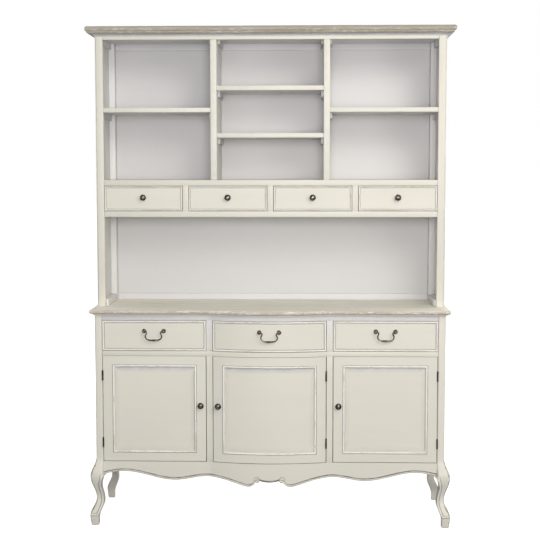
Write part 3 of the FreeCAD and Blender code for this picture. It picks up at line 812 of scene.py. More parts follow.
    def dress(self, body: str, slot: str, *nodes: str, finish: str = "") -> "Piece":
        """Gives the piece its finish and its body.

        Args:
            body: Body that the piece rides on.
            slot: Record slot of its finish.
            nodes: Nodes that the piece stands for.
            finish: Name of the finish where it isn't the slot's own.

        Returns:
            The piece.
        """
        self.obj.data.materials.clear()
        self.obj.data.materials.append(finisher.material(finish or slot))
        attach(self.obj, body)
        if nodes:
            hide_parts(*nodes)
        log.info("%s: %d faces on %s", self.obj.name, len(self.obj.data.polygons), body)
        return self


def dress_pair(right: Piece, node: str, style: str) -> None:
    """Dresses a right-hand piece of the carcass and its twin on the left.

    Args:
        right: The right-hand piece.
        node: Node that it stands for, with the word right in its name.
        style: Last word of both pieces' names.
    """
    other = node.replace("right", "left")
    left = right.twin(f"{other}_{style}")
    right.obj.name = f"{node}_{style}"
    right.dress("carcass", "cream_paint", node)
    left.dress("carcass", "cream_paint", other)


def facing(axis: int, sign: int, level: float) -> Callable[[Any], bool]:
    """Test for the faces that look along one axis at one level of it.

    Args:
        axis: The axis: 0, 1 or 2.
        sign: 1 or -1, the way the faces look.
        level: Their place along the axis.

    Returns:
        The test.
    """
    def test(face: Any) -> bool:
        """Whether a face looks that way there."""
        return face.normal[axis] * sign > 0.9 and abs(face.calc_center_median()[axis] - level) < NEAR
    return test


def evenly(first: float, last: float, count: int) -> list[float]:
    """Places that divide a run into count parts, without its ends."""
    return [first + (last - first) * step / count for step in range(1, count)]


# Shape of the base's front

@dataclass(frozen=True)
class Bow:
    """The base's front, straight at the sides and bowed forward in the middle."""

    front: float = -0.1705
    half_span: float = 0.240
    depth: float = 0.036
    ease: float = 0.012

    def swell(self, x: float) -> float:
        """How far the front stands forward, eased into the flat at the bow's ends.

        Args:
            x: Place along the front.

        Returns:
            The shift in Y there.
        """
        inner = self.half_span - self.ease
        left = max(0.0, self.half_span + self.ease - abs(x)) / (2 * self.ease)
        radius = (self.half_span ** 2 + self.depth ** 2) / (2 * self.depth)
        arc = radius - self.depth - math.sqrt(radius ** 2 - min(abs(x), inner) ** 2)
        return arc * min(1.0, left) ** 2

    def bend(self, piece: Piece, flat_back: float | None = None) -> Piece:
        """Bows a piece that was made flat.

        Args:
            piece: The piece, sliced finely enough along X.
            flat_back: Y of the back where that stays straight, or None where it follows the bow.

        Returns:
            The piece.
        """
        def place(point: Vector) -> Point:
            """A point's place on the bow."""
            share = 1.0
            if flat_back is not None:
                share = min(1.0, max(0.0, (flat_back - point.y) / (flat_back - self.front)))
            return point.x, point.y + share * self.swell(point.x), point.z
        return piece.move(place)


BOW = Bow()


# Mouldings: pairs of distance from the edge and height above the face, in metres

@dataclass(frozen=True)
class BeadBorder:
    """Raised bead round a drawer front, with a fine groove inside it."""

    width: float
    proud: float
    groove: float = 1.1 * MM
    groove_glaze: float = 0.5
    foot_glaze: float = 0.25
    crest_rub_and_highlight: float = 1.7

    def profile(self) -> list[Step]:
        """The bead and its groove.

        Returns:
            Steps from the front's edge to its field.
        """
        shares = ((0.0, 0.0), (0.04, 0.42), (0.11, 0.74), (0.21, 0.94), (0.32, 1.0), (0.43, 0.94),
                  (0.53, 0.74), (0.60, 0.42), (0.64, 0.0))
        steps = [(self.width * d, self.proud * h) for d, h in shares]
        return steps + [(self.width * 0.70, -self.groove), (self.width * 0.90, -self.groove), (self.width, 0.0)]

    def age(self, piece: Piece, face_y: float) -> None:
        """Glazes the groove and the foot of the bead, and rubs its crest pale as wear and as a painted highlight.

        Args:
            piece: The drawer front.
            face_y: Y of its field.
        """
        def glaze(face: Any) -> float:
            """Strength of the glaze on a face."""
            height = face_y - face.center.y
            if -2 * self.groove < height < -SHALLOW:
                return self.groove_glaze
            return self.foot_glaze if SHALLOW / 4 < height < 0.45 * self.proud else 0.0

        def rub(face: Any) -> float:
            """Strength of the rubbing and painted highlight on a face."""
            return self.crest_rub_and_highlight if face_y - face.center.y > 0.5 * self.proud else 0.0

        piece.tint(Tint.GLAZE, glaze).tint(Tint.RUB, rub)


@dataclass
class DrawerRow:
    """Drawer fronts of the base, with a bead border."""

    thickness: float = 0.020
    border: BeadBorder = BeadBorder(10 * MM, 3.5 * MM)
    fit: float = 0.9 * MM
    slices: int = 40

    def build(self, bay: Bay) -> Piece:
        """One drawer front.

        Args:
            bay: The drawer's bay.

        Returns:
            The dressed piece.
        """
        node = f"{bay.value}_drawer_front"
        low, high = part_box(node)
        piece = Piece.box(f"{node}_beaded", (low.x - self.fit, BOW.front, low.z - self.fit),
                          (high.x + self.fit, BOW.front + self.thickness, high.z + self.fit))
        piece.mould(facing(1, -1, BOW.front), self.border.profile())
        self.border.age(piece, BOW.front)
        if bay is Bay.CENTRE:
            piece.slice(0, evenly(low.x, high.x, self.slices))
            BOW.bend(piece)
        return piece.smooth().dress(f"{bay.value}_drawer", "cream_paint", node)


@dataclass
class DoorSet:
    """Doors of the base: a frame with a moulded bead round a sunk panel."""

    thickness: float = 0.020
    stile: float = 0.0365
    top_rail: float = 0.0325
    bottom_rail: float = 0.033
    bead: float = 11.5 * MM
    groove: float = 1.2 * MM
    proud: float = 3 * MM
    sink: float = 6 * MM
    panel: float = 8 * MM
    top_fit: float = 1.6 * MM
    # painted shade on the panel beside the moulding, deeper and greyer as a painted shadow under the frame's top
    corner_glaze_and_shade: Sequence[Step] = ((0.004, 0.16), (0.010, 0.09), (0.018, 0.04))
    top_painted_shadow: Sequence[Step] = ((0.004, 0.36), (0.010, 0.25), (0.018, 0.10))
    top_shadow_grey: float = 2.6
    groove_glaze: float = 1.0
    foot_glaze: float = 0.45
    crest_rub_and_highlight: float = 2.4
    slices: int = 40

    def profile(self) -> list[Step]:
        """The moulding.

        Returns:
            Its steps from the frame's face in to the panel.
        """
        shares = ((0.19, 0.25), (0.24, 0.68), (0.32, 0.92), (0.44, 1.0), (0.56, 0.92), (0.66, 0.66), (0.73, 0.2))
        steps = [(0.0, 0.0), (0.02 * self.bead, -self.groove), (0.15 * self.bead, -self.groove)]
        steps += [(d * self.bead, h * self.proud) for d, h in shares]
        steps += [(0.78 * self.bead, -0.30 * self.sink), (0.84 * self.bead, -0.60 * self.sink)]
        return steps + [(0.91 * self.bead, -0.85 * self.sink), (self.bead, -self.sink)]

    def age(self, piece: Piece) -> Piece:
        """Glazes the grooves and the foot of the moulding, and rubs its crest pale as wear and as a painted
        highlight.

        Args:
            piece: The frame, not yet bowed.

        Returns:
            The frame.
        """
        def glaze(face: Any) -> float:
            """Strength of the glaze on a face."""
            height = BOW.front - face.center.y
            if -1.1 * self.groove < height < -SHALLOW and face.normal.y < -0.9:
                return self.groove_glaze
            return self.foot_glaze if -self.sink < height < -0.8 * self.sink else 0.0

        def rub(face: Any) -> float:
            """Strength of the rubbing and painted highlight on a face."""
            return self.crest_rub_and_highlight if BOW.front - face.center.y > 0.15 * self.proud else 0.0

        return piece.tint(Tint.GLAZE, glaze).tint(Tint.RUB, rub)

    def frame_piece(self, bay: Bay) -> Piece:
        """The frame and its moulding, open where the panel shows.

        Args:
            bay: The door's bay.

        Returns:
            The frame, flat and undressed.
        """
        node = f"{bay.value}_door_frame"
        low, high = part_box(node)
        inner = (low.x + self.stile, high.x - self.stile, low.z + self.bottom_rail, high.z - self.top_rail)
        back = BOW.front + self.thickness
        piece = Piece.box(f"{node}_moulded", (low.x, BOW.front, low.z), (high.x, back, high.z + self.top_fit))
        piece.slice(0, inner[:2]).slice(2, inner[2:])

        def middle(face: Any) -> bool:
            """Whether a face lies where the panel shows."""
            centre = face.calc_center_median()
            return inner[0] < centre.x < inner[1] and inner[2] < centre.z < inner[3]

        sunk = self.thickness - self.sink - self.panel
        piece.mould(lambda f: facing(1, -1, BOW.front)(f) and middle(f), self.profile(), drop=True)
        piece.mould(lambda f: facing(1, 1, back)(f) and middle(f), [(0.0, 0.0), (NEAR, -sunk)], drop=True)
        with piece.editing(Part.EDGE) as mesh:
            piece.pick(mesh.edges, lambda edge: edge.is_boundary)
            bpy.ops.mesh.bridge_edge_loops()
        return self.age(piece)

    def panel_piece(self, bay: Bay) -> Piece:
        """The panel, which reaches behind the moulding, with painted shade round its edges and a greyer painted
        shadow under its top.

        Args:
            bay: The door's bay.

        Returns:
            The panel, flat and undressed.
        """
        node = f"{bay.value}_door_panel"
        low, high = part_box(node)
        outer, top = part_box(f"{bay.value}_door_frame")
        seen = outer.x + self.stile + self.bead - low.x
        z0 = outer.z + self.bottom_rail + self.bead - seen
        z1 = top.z - self.top_rail - self.bead + seen
        near = BOW.front + self.sink
        piece = Piece.box(f"{node}_board", (low.x, near, z0), (high.x, near + self.panel, z1))
        steps = [(0.0, 0.0), (seen, 0.0)] + [(seen + reach, 0.0) for reach, _ in self.corner_glaze_and_shade]
        piece.mould(facing(1, -1, near), steps)

        def under_top(face: Any) -> bool:
            """Whether a face lies close under the frame's top, in its painted shadow."""
            x, _, z = face.center
            return z1 - z < min(x - low.x, high.x - x, z - z0, seen + self.top_painted_shadow[-1][0])

        def glaze(face: Any) -> float:
            """Strength of the painted shade on a face."""
            x, _, z = face.center
            edge = min(x - low.x, high.x - x, z - z0, z1 - z) - seen
            steps = self.top_painted_shadow if under_top(face) else self.corner_glaze_and_shade
            return next((strength for reach, strength in steps if edge < reach), 0.0)

        # painted shadow: the panel greys and darkens close under the frame's top
        piece.tint(Tint.INSIDE, lambda face: self.top_shadow_grey * glaze(face) if under_top(face) else 0.0)
        return piece.tint(Tint.GLAZE, glaze)

    def build(self, bay: Bay) -> list[Piece]:
        """One door.

        Args:
            bay: The door's bay.

        Returns:
            Its dressed frame and panel.
        """
        pieces = [self.frame_piece(bay), self.panel_piece(bay)]
        nodes = [f"{bay.value}_door_frame", f"{bay.value}_door_panel"]
        for piece, node in zip(pieces, nodes):
            if bay is Bay.CENTRE:
                low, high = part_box(node)
                piece.slice(0, evenly(low.x, high.x, self.slices))
                BOW.bend(piece)
            piece.smooth().dress(f"{bay.value}_door", "cream_paint", node)
        return pieces


@dataclass
class HutchDrawers:
    """Small drawers of the hutch, with a bead border."""

    count: int = 4
    thickness: float = 0.018
    border: BeadBorder = BeadBorder(8 * MM, 3 * MM)

    def build(self) -> list[Piece]:
        """All the fronts.

        Returns:
            The dressed pieces.
        """
        pieces = []
        for index in range(1, self.count + 1):
            node = f"hutch_drawer_{index}_front"
            low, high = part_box(node)
            face = high.y - self.thickness
            piece = Piece.box(f"{node}_beaded", (low.x, face, low.z), high)
            piece.mould(facing(1, -1, face), self.border.profile())
            self.border.age(piece, face)
            pieces.append(piece.smooth().dress(f"hutch_drawer_{index}", "cream_paint", node))
        return pieces


# Limed slabs

@dataclass
class Slab:
    """Limed board moulded on its front and ends: profile steps are inset and height, from its underside up."""

    node: str
    profile: Sequence[Step]
    finish: str = "limed_wood"
    bowed: bool = False
    overhang: float = 0.028
    columns: int = 240
    edge_bare: float = 0.9
    edge_lime: float = 0.9
    top_lime: float = 0.3
    sharp: float = 40.0

    def run(self, name: str, profile: Sequence[Step]) -> Piece:
        """A board that follows a profile.

        Args:
            name: Name of the piece.
            profile: Its steps.

        Returns:
            The board, bowed if the slab is.
        """
        low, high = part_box(self.node)
        front = BOW.front - self.overhang if self.bowed else low.y
        piece = Piece.stepped(name, high.x, (front, high.y), profile, self.columns)
        return BOW.bend(piece, high.y) if self.bowed else piece

    def build(self, under: Sequence[Step] = ()) -> Piece:
        """The slab, barer on its edge, dressed.

        Args:
            under: Profile of a painted moulding under the slab, if it has one.

        Returns:
            The slab.
        """
        piece = self.run(f"{self.node}_moulded", self.profile)
        piece.tint(Tint.GLAZE, lambda face: self.edge_bare if abs(face.normal.z) < 0.97 else 0.0)
        piece.tint(Tint.RUB, lambda face: self.edge_lime if face.normal.z < 0.1 else self.top_lime)
        if under:
            moulding = self.run(f"{self.node}_under_moulding", under)
            moulding.smooth(self.sharp).dress("carcass", "cream_paint")
        return piece.smooth(self.sharp).dress("carcass", "limed_wood", self.node, finish=self.finish)


def quarter(start: Step, end: Step, hollow: bool = False, steps: int = 7) -> list[Step]:
    """A quarter round.

    Args:
        start: Inset and height where it starts.
        end: Inset and height where it ends.
        hollow: Whether it leaves start upright and not level.
        steps: Stretches along it.

    Returns:
        Its steps.
    """
    angles = [math.pi / 2 * step / steps for step in range(steps + 1)]
    shares = [(1 - math.cos(a), math.sin(a)) if hollow else (math.sin(a), 1 - math.cos(a)) for a in angles]
    return [(start[0] + (end[0] - start[0]) * u, start[1] + (end[1] - start[1]) * v) for u, v in shares]


def counter_top() -> Piece:
    """The counter: a nose rounded above and below, over a painted hollow.

    Returns:
        The dressed slab.
    """
    low, high = (corner.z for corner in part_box("counter_top"))
    lip = low + 6.5 * MM
    top_round = 4.5 * MM
    nose = 10 * MM
    hollow = (16.5 * MM, 10.5 * MM)
    tip = (0.0, high - top_round)
    edge = quarter((nose, lip), tip) + quarter(tip, (top_round, high), hollow=True)
    under = quarter((hollow[0], low), (hollow[1], lip), hollow=True)
    return Slab("counter_top", edge, bowed=True).build(under)


def cornice_top() -> Piece:
    """The cornice's top: a quarter round, a small ledge and a nose.

    Returns:
        The dressed slab.
    """
    low, high = (corner.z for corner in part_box("cornice_top"))
    lip = low + 8 * MM
    round_inset, ledge_inset, nose, top_round = 12 * MM, 6 * MM, 5 * MM, 9 * MM
    ledge_rise = 0.2 * MM
    tip = (0.0, high - 11 * MM)
    edge = quarter((round_inset, low), (ledge_inset, lip)) + quarter((nose, lip + ledge_rise), tip)
    return Slab("cornice_top", edge + quarter(tip, (top_round, high), hollow=True), "limed_cornice").build()


# Hutch

def both_sides(spans: Sequence[Span]) -> list[Span]:
    """Boards of the right side, followed by the same on the left.

    Args:
        spans: Corners of each board: x0, x1, y0, y1, z0, z1.

    Returns:
        All the boards' corners.
    """
    return [*spans, *((-x1, -x0, *rest) for x0, x1, *rest in spans)]


@dataclass
class Hutch:
    """Open case of the hutch: posts, rails, back, dividers, shelves and the drawers' case."""

    front: float = -0.0645
    post_back: float = -0.0345
    stile_front: float = 0.1865
    back_face: float = 0.2155
    board_back: float = 0.2295
    back: float = 0.2345
    half: float = 0.70475
    inner: float = 0.67225
    frame_inner: float = 0.66475
    rail_inner: float = 0.67825
    panel_inner: float = 0.68825
    panel_outer: float = 0.69825
    bottom: float = 0.874
    top: float = 1.972
    side_bottom_rail: float = 0.028
    side_top_rail: float = 0.038
    back_rails: Step = (0.0275, 0.040)
    back_recess: float = 0.003
    divider: Step = (0.2148, 0.2402)
    frieze_under: float = 1.9485
    frieze: float = 0.020
    ceiling: float = 1.9595
    shelf_set: float = 0.002
    shelf: float = 0.0185
    side_shelf: float = 1.67852
    middle_shelves: Step = (1.76603, 1.57702)
    deck: Step = (1.365, 1.389)
    floor: Step = (1.239, 1.263)
    reveal: float = 1.75 * MM
    post_round: float = 8 * MM
    soft: float = 1.4 * MM
    hair: float = 0.15 * MM
    frame_glaze: float = 0.3
    back_glaze: float = 0.5
    board_glaze: float = 0.15
    cleat_painted_shade: float = 0.22
    front_rub_and_highlight: float = 0.22
    board_grey_and_shade: float = 0.7

    def boards(self, name: str, spans: Sequence[Span], edge_glaze: float) -> Piece:
        """Boards with softened edges, joined into one piece.

        Args:
            name: Name of the piece.
            spans: Corners of each board: x0, x1, y0, y1, z0, z1.
            edge_glaze: Strength of the glaze left on the edges.

        Returns:
            The piece.
        """
        made = [Piece.box(name, (x0, y0, z0), (x1, y1, z1)).soften(self.soft) for x0, x1, y0, y1, z0, z1 in spans]
        return age_edges(made[0].join(made[1:]), edge_glaze).smooth()

    def side(self) -> Piece:
        """The right side: a post with a round outer edge, back stile, rails and panel.

        Returns:
            The undressed piece.
        """
        low = self.bottom + self.side_bottom_rail
        high = self.top - self.side_top_rail
        post = Piece.box("post", (self.inner, self.front, self.bottom), (self.half, self.post_back, self.top))
        post.round_edges(lambda e: all(abs(v.co.x - self.half) < NEAR and abs(v.co.y - self.front) < NEAR
                                       for v in e.verts), self.post_round)
        age_edges(post.soften(self.soft, angle=40.0), self.frame_glaze)
        run = (self.half, self.post_back, self.stile_front)
        rest = self.boards("rails", [
            (self.frame_inner, self.half, self.stile_front, self.back, self.bottom, self.top),
            (self.frame_inner, *run, self.bottom, low), (self.rail_inner, *run, high, self.top),
            (self.panel_inner, self.panel_outer, self.post_back, self.stile_front, low, high)], self.frame_glaze)
        rest.tint(Tint.INSIDE, lambda face: 1.0 if face.normal.x < -0.3 or face.normal.y < -0.3 else 0.0)
        return post.join([rest]).smooth()

    def back_piece(self) -> Piece:
        """Rails and sunk panel behind the shelves.

        Returns:
            The undressed piece.
        """
        half = self.frame_inner
        low = self.bottom + self.back_rails[0]
        high = self.top - self.back_rails[1]
        face = self.back_face + self.back_recess
        plane = (self.back_face, self.board_back)
        return self.boards("hutch_back_panelled", [
            (-half, half, *plane, self.bottom, low), (-half, half, *plane, high, self.top),
            (-half, half, face, self.board_back - self.back_recess, low - self.soft, high + self.soft)],
            self.back_glaze)

    def tongue(self, z0: float, z1: float) -> Span:
        """Corners of the end of a board that reaches the right side's panel behind the post."""
        return (self.inner - self.soft, self.panel_inner, self.post_back, self.stile_front,
                z0 + self.hair, z1 - self.hair)

    def age_boards(self, piece: Piece, axis: int) -> Piece:
        """Rubs the fronts of open boards pale, as wear and as a painted highlight, and greys their faces, as greyer
        interior paint and as painted shade.

        Args:
            piece: The boards.
            axis: Axis across their faces.

        Returns:
            The boards.
        """
        # pale fronts stand for wear and a painted highlight; grey faces for interior paint and painted shade
        piece.tint(Tint.RUB, lambda face: self.front_rub_and_highlight if face.normal.y < -0.9 else 0.0)
        return piece.tint(Tint.INSIDE, lambda face: self.board_grey_and_shade if abs(face.normal[axis]) > 0.9 else 0.0)

    def shelves(self) -> Piece:
        """One shelf in each side bay and two in the middle.

        Returns:
            The undressed piece.
        """
        front = self.front + self.shelf_set
        low, top = self.side_shelf - self.shelf, self.side_shelf
        spans = both_sides([(self.divider[1], self.inner, front, self.back_face, low, top), self.tongue(low, top)])
        spans += [(-self.divider[0], self.divider[0], front, self.back_face, top - self.shelf, top)
                  for top in self.middle_shelves]
        return self.age_boards(self.boards("hutch_shelves_softened", spans, self.board_glaze), 2)

    def dividers(self) -> Piece:
        """Two upright dividers that meet the frieze rail.

        Returns:
            The undressed piece.
        """
        x0, x1 = self.divider
        behind = self.front + self.frieze
        spans = [(x0, x1, self.front, self.back_face, self.deck[1], self.frieze_under),
                 (x0 + self.hair, x1 - self.hair, behind, self.back_face, self.frieze_under - self.soft,
                  self.ceiling + self.soft)]
        return self.age_boards(self.boards("hutch_dividers_softened", both_sides(spans), self.board_glaze), 0)

    def cleats(self) -> Piece:
        """The cleats under the shelves and the ceiling, with softened edges, darkened and greyed all over as painted
        shade.

        Returns:
            The undressed piece.
        """
        mesh = frame["nodes"]["shelf_cleats"].data.copy()
        twin = bpy.data.objects.new("shelf_cleats_softened", mesh)
        bpy.context.scene.collection.objects.link(twin)
        piece = Piece(twin, "shelf_cleats_softened").weld().soften(self.soft)
        # painted shade: the cleats are darkened and greyed all over
        piece.tint(Tint.GLAZE, lambda face: self.cleat_painted_shade)
        return piece.tint(Tint.INSIDE, lambda face: 1.0).smooth()

    def case(self) -> Piece:
        """Deck and floor of the drawers' case and the partitions between the drawers.

        Returns:
            The undressed piece.
        """
        spans = []
        for z0, z1 in (self.deck, self.floor):
            spans.append((-self.inner, self.inner, self.front, self.back_face, z0, z1))
            spans += both_sides([self.tongue(z0, z1)])
        for index in range(1, HutchDrawers.count):
            x0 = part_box(f"hutch_drawer_{index}_front")[1].x + self.reveal
            x1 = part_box(f"hutch_drawer_{index + 1}_front")[0].x - self.reveal
            spans.append((x0, x1, self.front + self.hair, self.back_face, self.floor[1] - self.soft,
                          self.deck[0] + self.soft))
        return self.boards("hutch_drawer_case_softened", spans, self.board_glaze)

    def build(self) -> None:
        """All the fixed boards of the hutch, dressed."""
        dress_pair(self.side(), "hutch_right_side", "framed")
        self.back_piece().dress("carcass", "back_paint", "hutch_back")
        self.shelves().dress("carcass", "cream_paint", "hutch_shelves")
        self.dividers().dress("carcass", "cream_paint", "hutch_dividers")
        self.cleats().dress("carcass", "cream_paint", "shelf_cleats")
        self.case().dress("carcass", "cream_paint", "hutch_drawer_case")


def age_edges(piece: Piece, strength: float, flat: float = 0.0) -> Piece:
    """Leaves glaze on the narrow faces that round a piece's edges.

    Args:
        piece: The piece, with softened edges.
        strength: Strength of the glaze there.
        flat: Strength on its flat faces.

    Returns:
        The piece.
    """
    def slanted(face: Any) -> float:
        """Strength of the glaze on a face."""
        return strength if max(abs(c) for c in face.normal) < 0.985 else flat
    return piece.tint(Tint.GLAZE, slanted)


@dataclass
class Cornice:
    """Painted cove under the limed top, the frieze rail between the posts and the ceiling behind it."""

    hutch: Hutch
    overhang: float = 0.0345
    start: float = 0.014
    height: float = 0.011
    wall: float = 0.012
    spare: float = 0.045
    stations: int = 8
    cove_painted_shade: float = 0.22
    rail_glaze: float = 0.2

    def cove(self) -> Piece:
        """The cove on three sides, cut from a hollow block that runs on behind the hutch, greyed and darkened all
        over as painted shade.

        Returns:
            The undressed piece.
        """
        half = self.hutch.half + self.overhang
        front = self.hutch.front - self.overhang
        back = self.hutch.back + self.spare
        steps = [(self.start + (self.overhang - self.start) * math.sin(a),
                  self.hutch.top - self.height * (1 - math.cos(a)))
                 for a in np.linspace(math.pi / 2, 0.0, self.stations)]
        cove = Piece.stepped("cornice_moulding_run", half, (front, back), steps)
        with cove.editing(Part.FACE) as mesh:
            cove.pick(mesh.faces, facing(2, -1, steps[0][1]))
            bpy.ops.mesh.inset(thickness=self.wall)
            bpy.ops.mesh.delete(type="FACE")
        with cove.editing(Part.FACE) as mesh:
            cove.pick(mesh.faces, facing(2, 1, self.hutch.top))
            bpy.ops.mesh.inset(thickness=self.overhang - self.start + self.wall)
            bpy.ops.mesh.delete(type="FACE")
            mesh = bmesh.from_edit_mesh(cove.obj.data)
            bpy.ops.mesh.select_mode(type="EDGE")
            cove.pick(mesh.edges, lambda e: e.is_boundary)
            bpy.ops.mesh.bridge_edge_loops()
            bpy.ops.mesh.select_all(action="SELECT")
            bpy.ops.mesh.bisect(plane_co=(0.0, self.hutch.back - self.hutch.hair, 0.0),
                                plane_no=(0.0, 1.0, 0.0), clear_outer=True)
            mesh = bmesh.from_edit_mesh(cove.obj.data)
            cove.pick(mesh.edges, lambda e: e.is_boundary)
            bpy.ops.mesh.fill_holes(sides=0)
        # painted shade: the cove under the overhang is greyed and darkened all over
        return cove.weld().tint(Tint.INSIDE, lambda face: 1.0).tint(Tint.GLAZE, lambda face: self.cove_painted_shade)

    def rail(self) -> Piece:
        """The frieze rail and the ceiling.

        Returns:
            The undressed piece.
        """
        hutch = self.hutch
        rail = hutch.boards("frieze", [
            (-hutch.inner, hutch.inner, hutch.front + hutch.hair, hutch.front + hutch.frieze,
             hutch.frieze_under, hutch.top),
            (-hutch.rail_inner, hutch.rail_inner, hutch.post_back, hutch.back_face, hutch.ceiling, hutch.top)],
            self.rail_glaze)
        return rail.tint(Tint.INSIDE, lambda face: 1.0 if face.center.y > hutch.front + 0.5 * MM else 0.0)

    def build(self) -> Piece:
        """Cove, rail and ceiling, dressed in one piece."""
        return self.cove().join([self.rail()]).smooth().dress("carcass", "cream_paint", "cornice_moulding")


# Base

@dataclass
class Legs:
    """Cabriole legs, each in one piece with its post: key heights with outer swell and inner reach."""

    half: float = 0.69925
    back: float = 0.2345
    top: float = 0.852
    face: float = 0.029
    depth: float = 0.032
    swells: Sequence[Step] = ((0.0, 0.0195), (0.041, 0.0235), (0.109, 0.0005), (0.201, 0.022), (0.275, 0.0))
    reaches: Sequence[Step] = ((0.0, 0.0105), (0.027, 0.0105), (0.100, 0.0305), (0.163, 0.0215),
                               (0.20575, 0.029), (0.275, 0.029))
    steps: int = 44
    corner: float = 6 * MM
    corner_steps: int = 5
    foot_soft: float = 8 * MM
    foot_steps: int = 4
    corner_slant: float = 0.12
    corner_glaze_and_shade: float = 0.8
    sharp: float = 40.0

    def at(self, height: float) -> tuple[float, float]:
        """Swell and reach of the leg at one height."""
        return eased(self.swells, height), eased(self.reaches, height)

    def stations(self) -> list[Point]:
        """The leg from its foot to the top of its post.

        Returns:
            Height, swell and reach at each station.
        """
        spring = self.swells[-1][0]
        levels = [spring * step / self.steps for step in range(self.steps + 1)] + [self.top]
        return [(level, *self.at(level)) for level in levels]

    def section(self, station: Point, front: bool) -> tuple[float, float, float, float]:
        """A right-hand leg's section.

        Args:
            station: Height, swell and reach there.
            front: Whether it is the front leg.

        Returns:
            x0, x1, y0 and y1.
        """
        _, swell, reach = station
        deep = self.depth + reach - self.face
        if front:
            return self.half - reach, self.half + swell, BOW.front - swell, BOW.front + deep
        return self.half - reach, self.half + swell, self.back - deep, self.back

    def leg(self, name: str, front: bool) -> Piece:
        """A right-hand leg, extruded station by station from its foot.

        Args:
            name: Name of the piece.
            front: Whether it is the front leg.

        Returns:
            The undressed leg.
        """
        stations = self.stations()
        x0, x1, y0, y1 = self.section(stations[0], front)
        piece = Piece.plate(name, (x0, y0, 0.0), (x1, y1, 0.0))
        with piece.editing(Part.VERTEX):
            bpy.ops.mesh.select_all(action="SELECT")
            bpy.ops.mesh.bevel(offset=self.corner, segments=self.corner_steps, affect="VERTICES")
        with piece.editing(Part.FACE):
            bpy.ops.mesh.select_all(action="SELECT")
            for low, high in zip(stations, stations[1:]):
                a0, a1, b0, b1 = self.section(low, front)
                x0, x1, y0, y1 = self.section(high, front)
                shift = ((x0 + x1 - a0 - a1) / 2, (y0 + y1 - b0 - b1) / 2, high[0] - low[0])
                bpy.ops.mesh.extrude_region_move(TRANSFORM_OT_translate={"value": shift})
                bpy.ops.transform.resize(value=((x1 - x0) / (a1 - a0), (y1 - y0) / (b1 - b0), 1.0),
                                         center_override=((x0 + x1) / 2, (y0 + y1) / 2, high[0]))
        piece.weld()
        piece.round_edges(lambda e: all(v.co.z < NEAR for v in e.verts), self.foot_soft, self.foot_steps)

        # the outer rounded corner is darkened as glaze and as painted shade
        def glaze(face: Any) -> float:
            """Strength of the glaze and painted shade on a face."""
            slant = 1.0 - max(abs(face.normal.x), abs(face.normal.y))
            return self.corner_glaze_and_shade if slant > self.corner_slant and face.normal.x > 0.0 else 0.0
        return piece.tint(Tint.GLAZE, glaze).smooth(self.sharp)

    def build(self) -> None:
        """The four legs, dressed."""
        dress_pair(self.leg("front_right_leg_carved", True), "front_right_leg", "carved")
        back = self.leg("back_legs_carved", False)
        back.join([back.twin("back_left")]).dress("carcass", "cream_paint", "back_legs")


def eased(keys: Sequence[Step], height: float) -> float:
    """Value at a height, eased from key to key.

    Args:
        keys: Pairs of height and value, from the bottom up.
        height: The height.

    Returns:
        The value there.
    """
    for (z0, low), (z1, high) in zip(keys, keys[1:]):
        if height <= z1:
            return low + (high - low) * (1 - math.cos(math.pi * (height - z0) / (z1 - z0))) / 2
    return keys[-1][1]


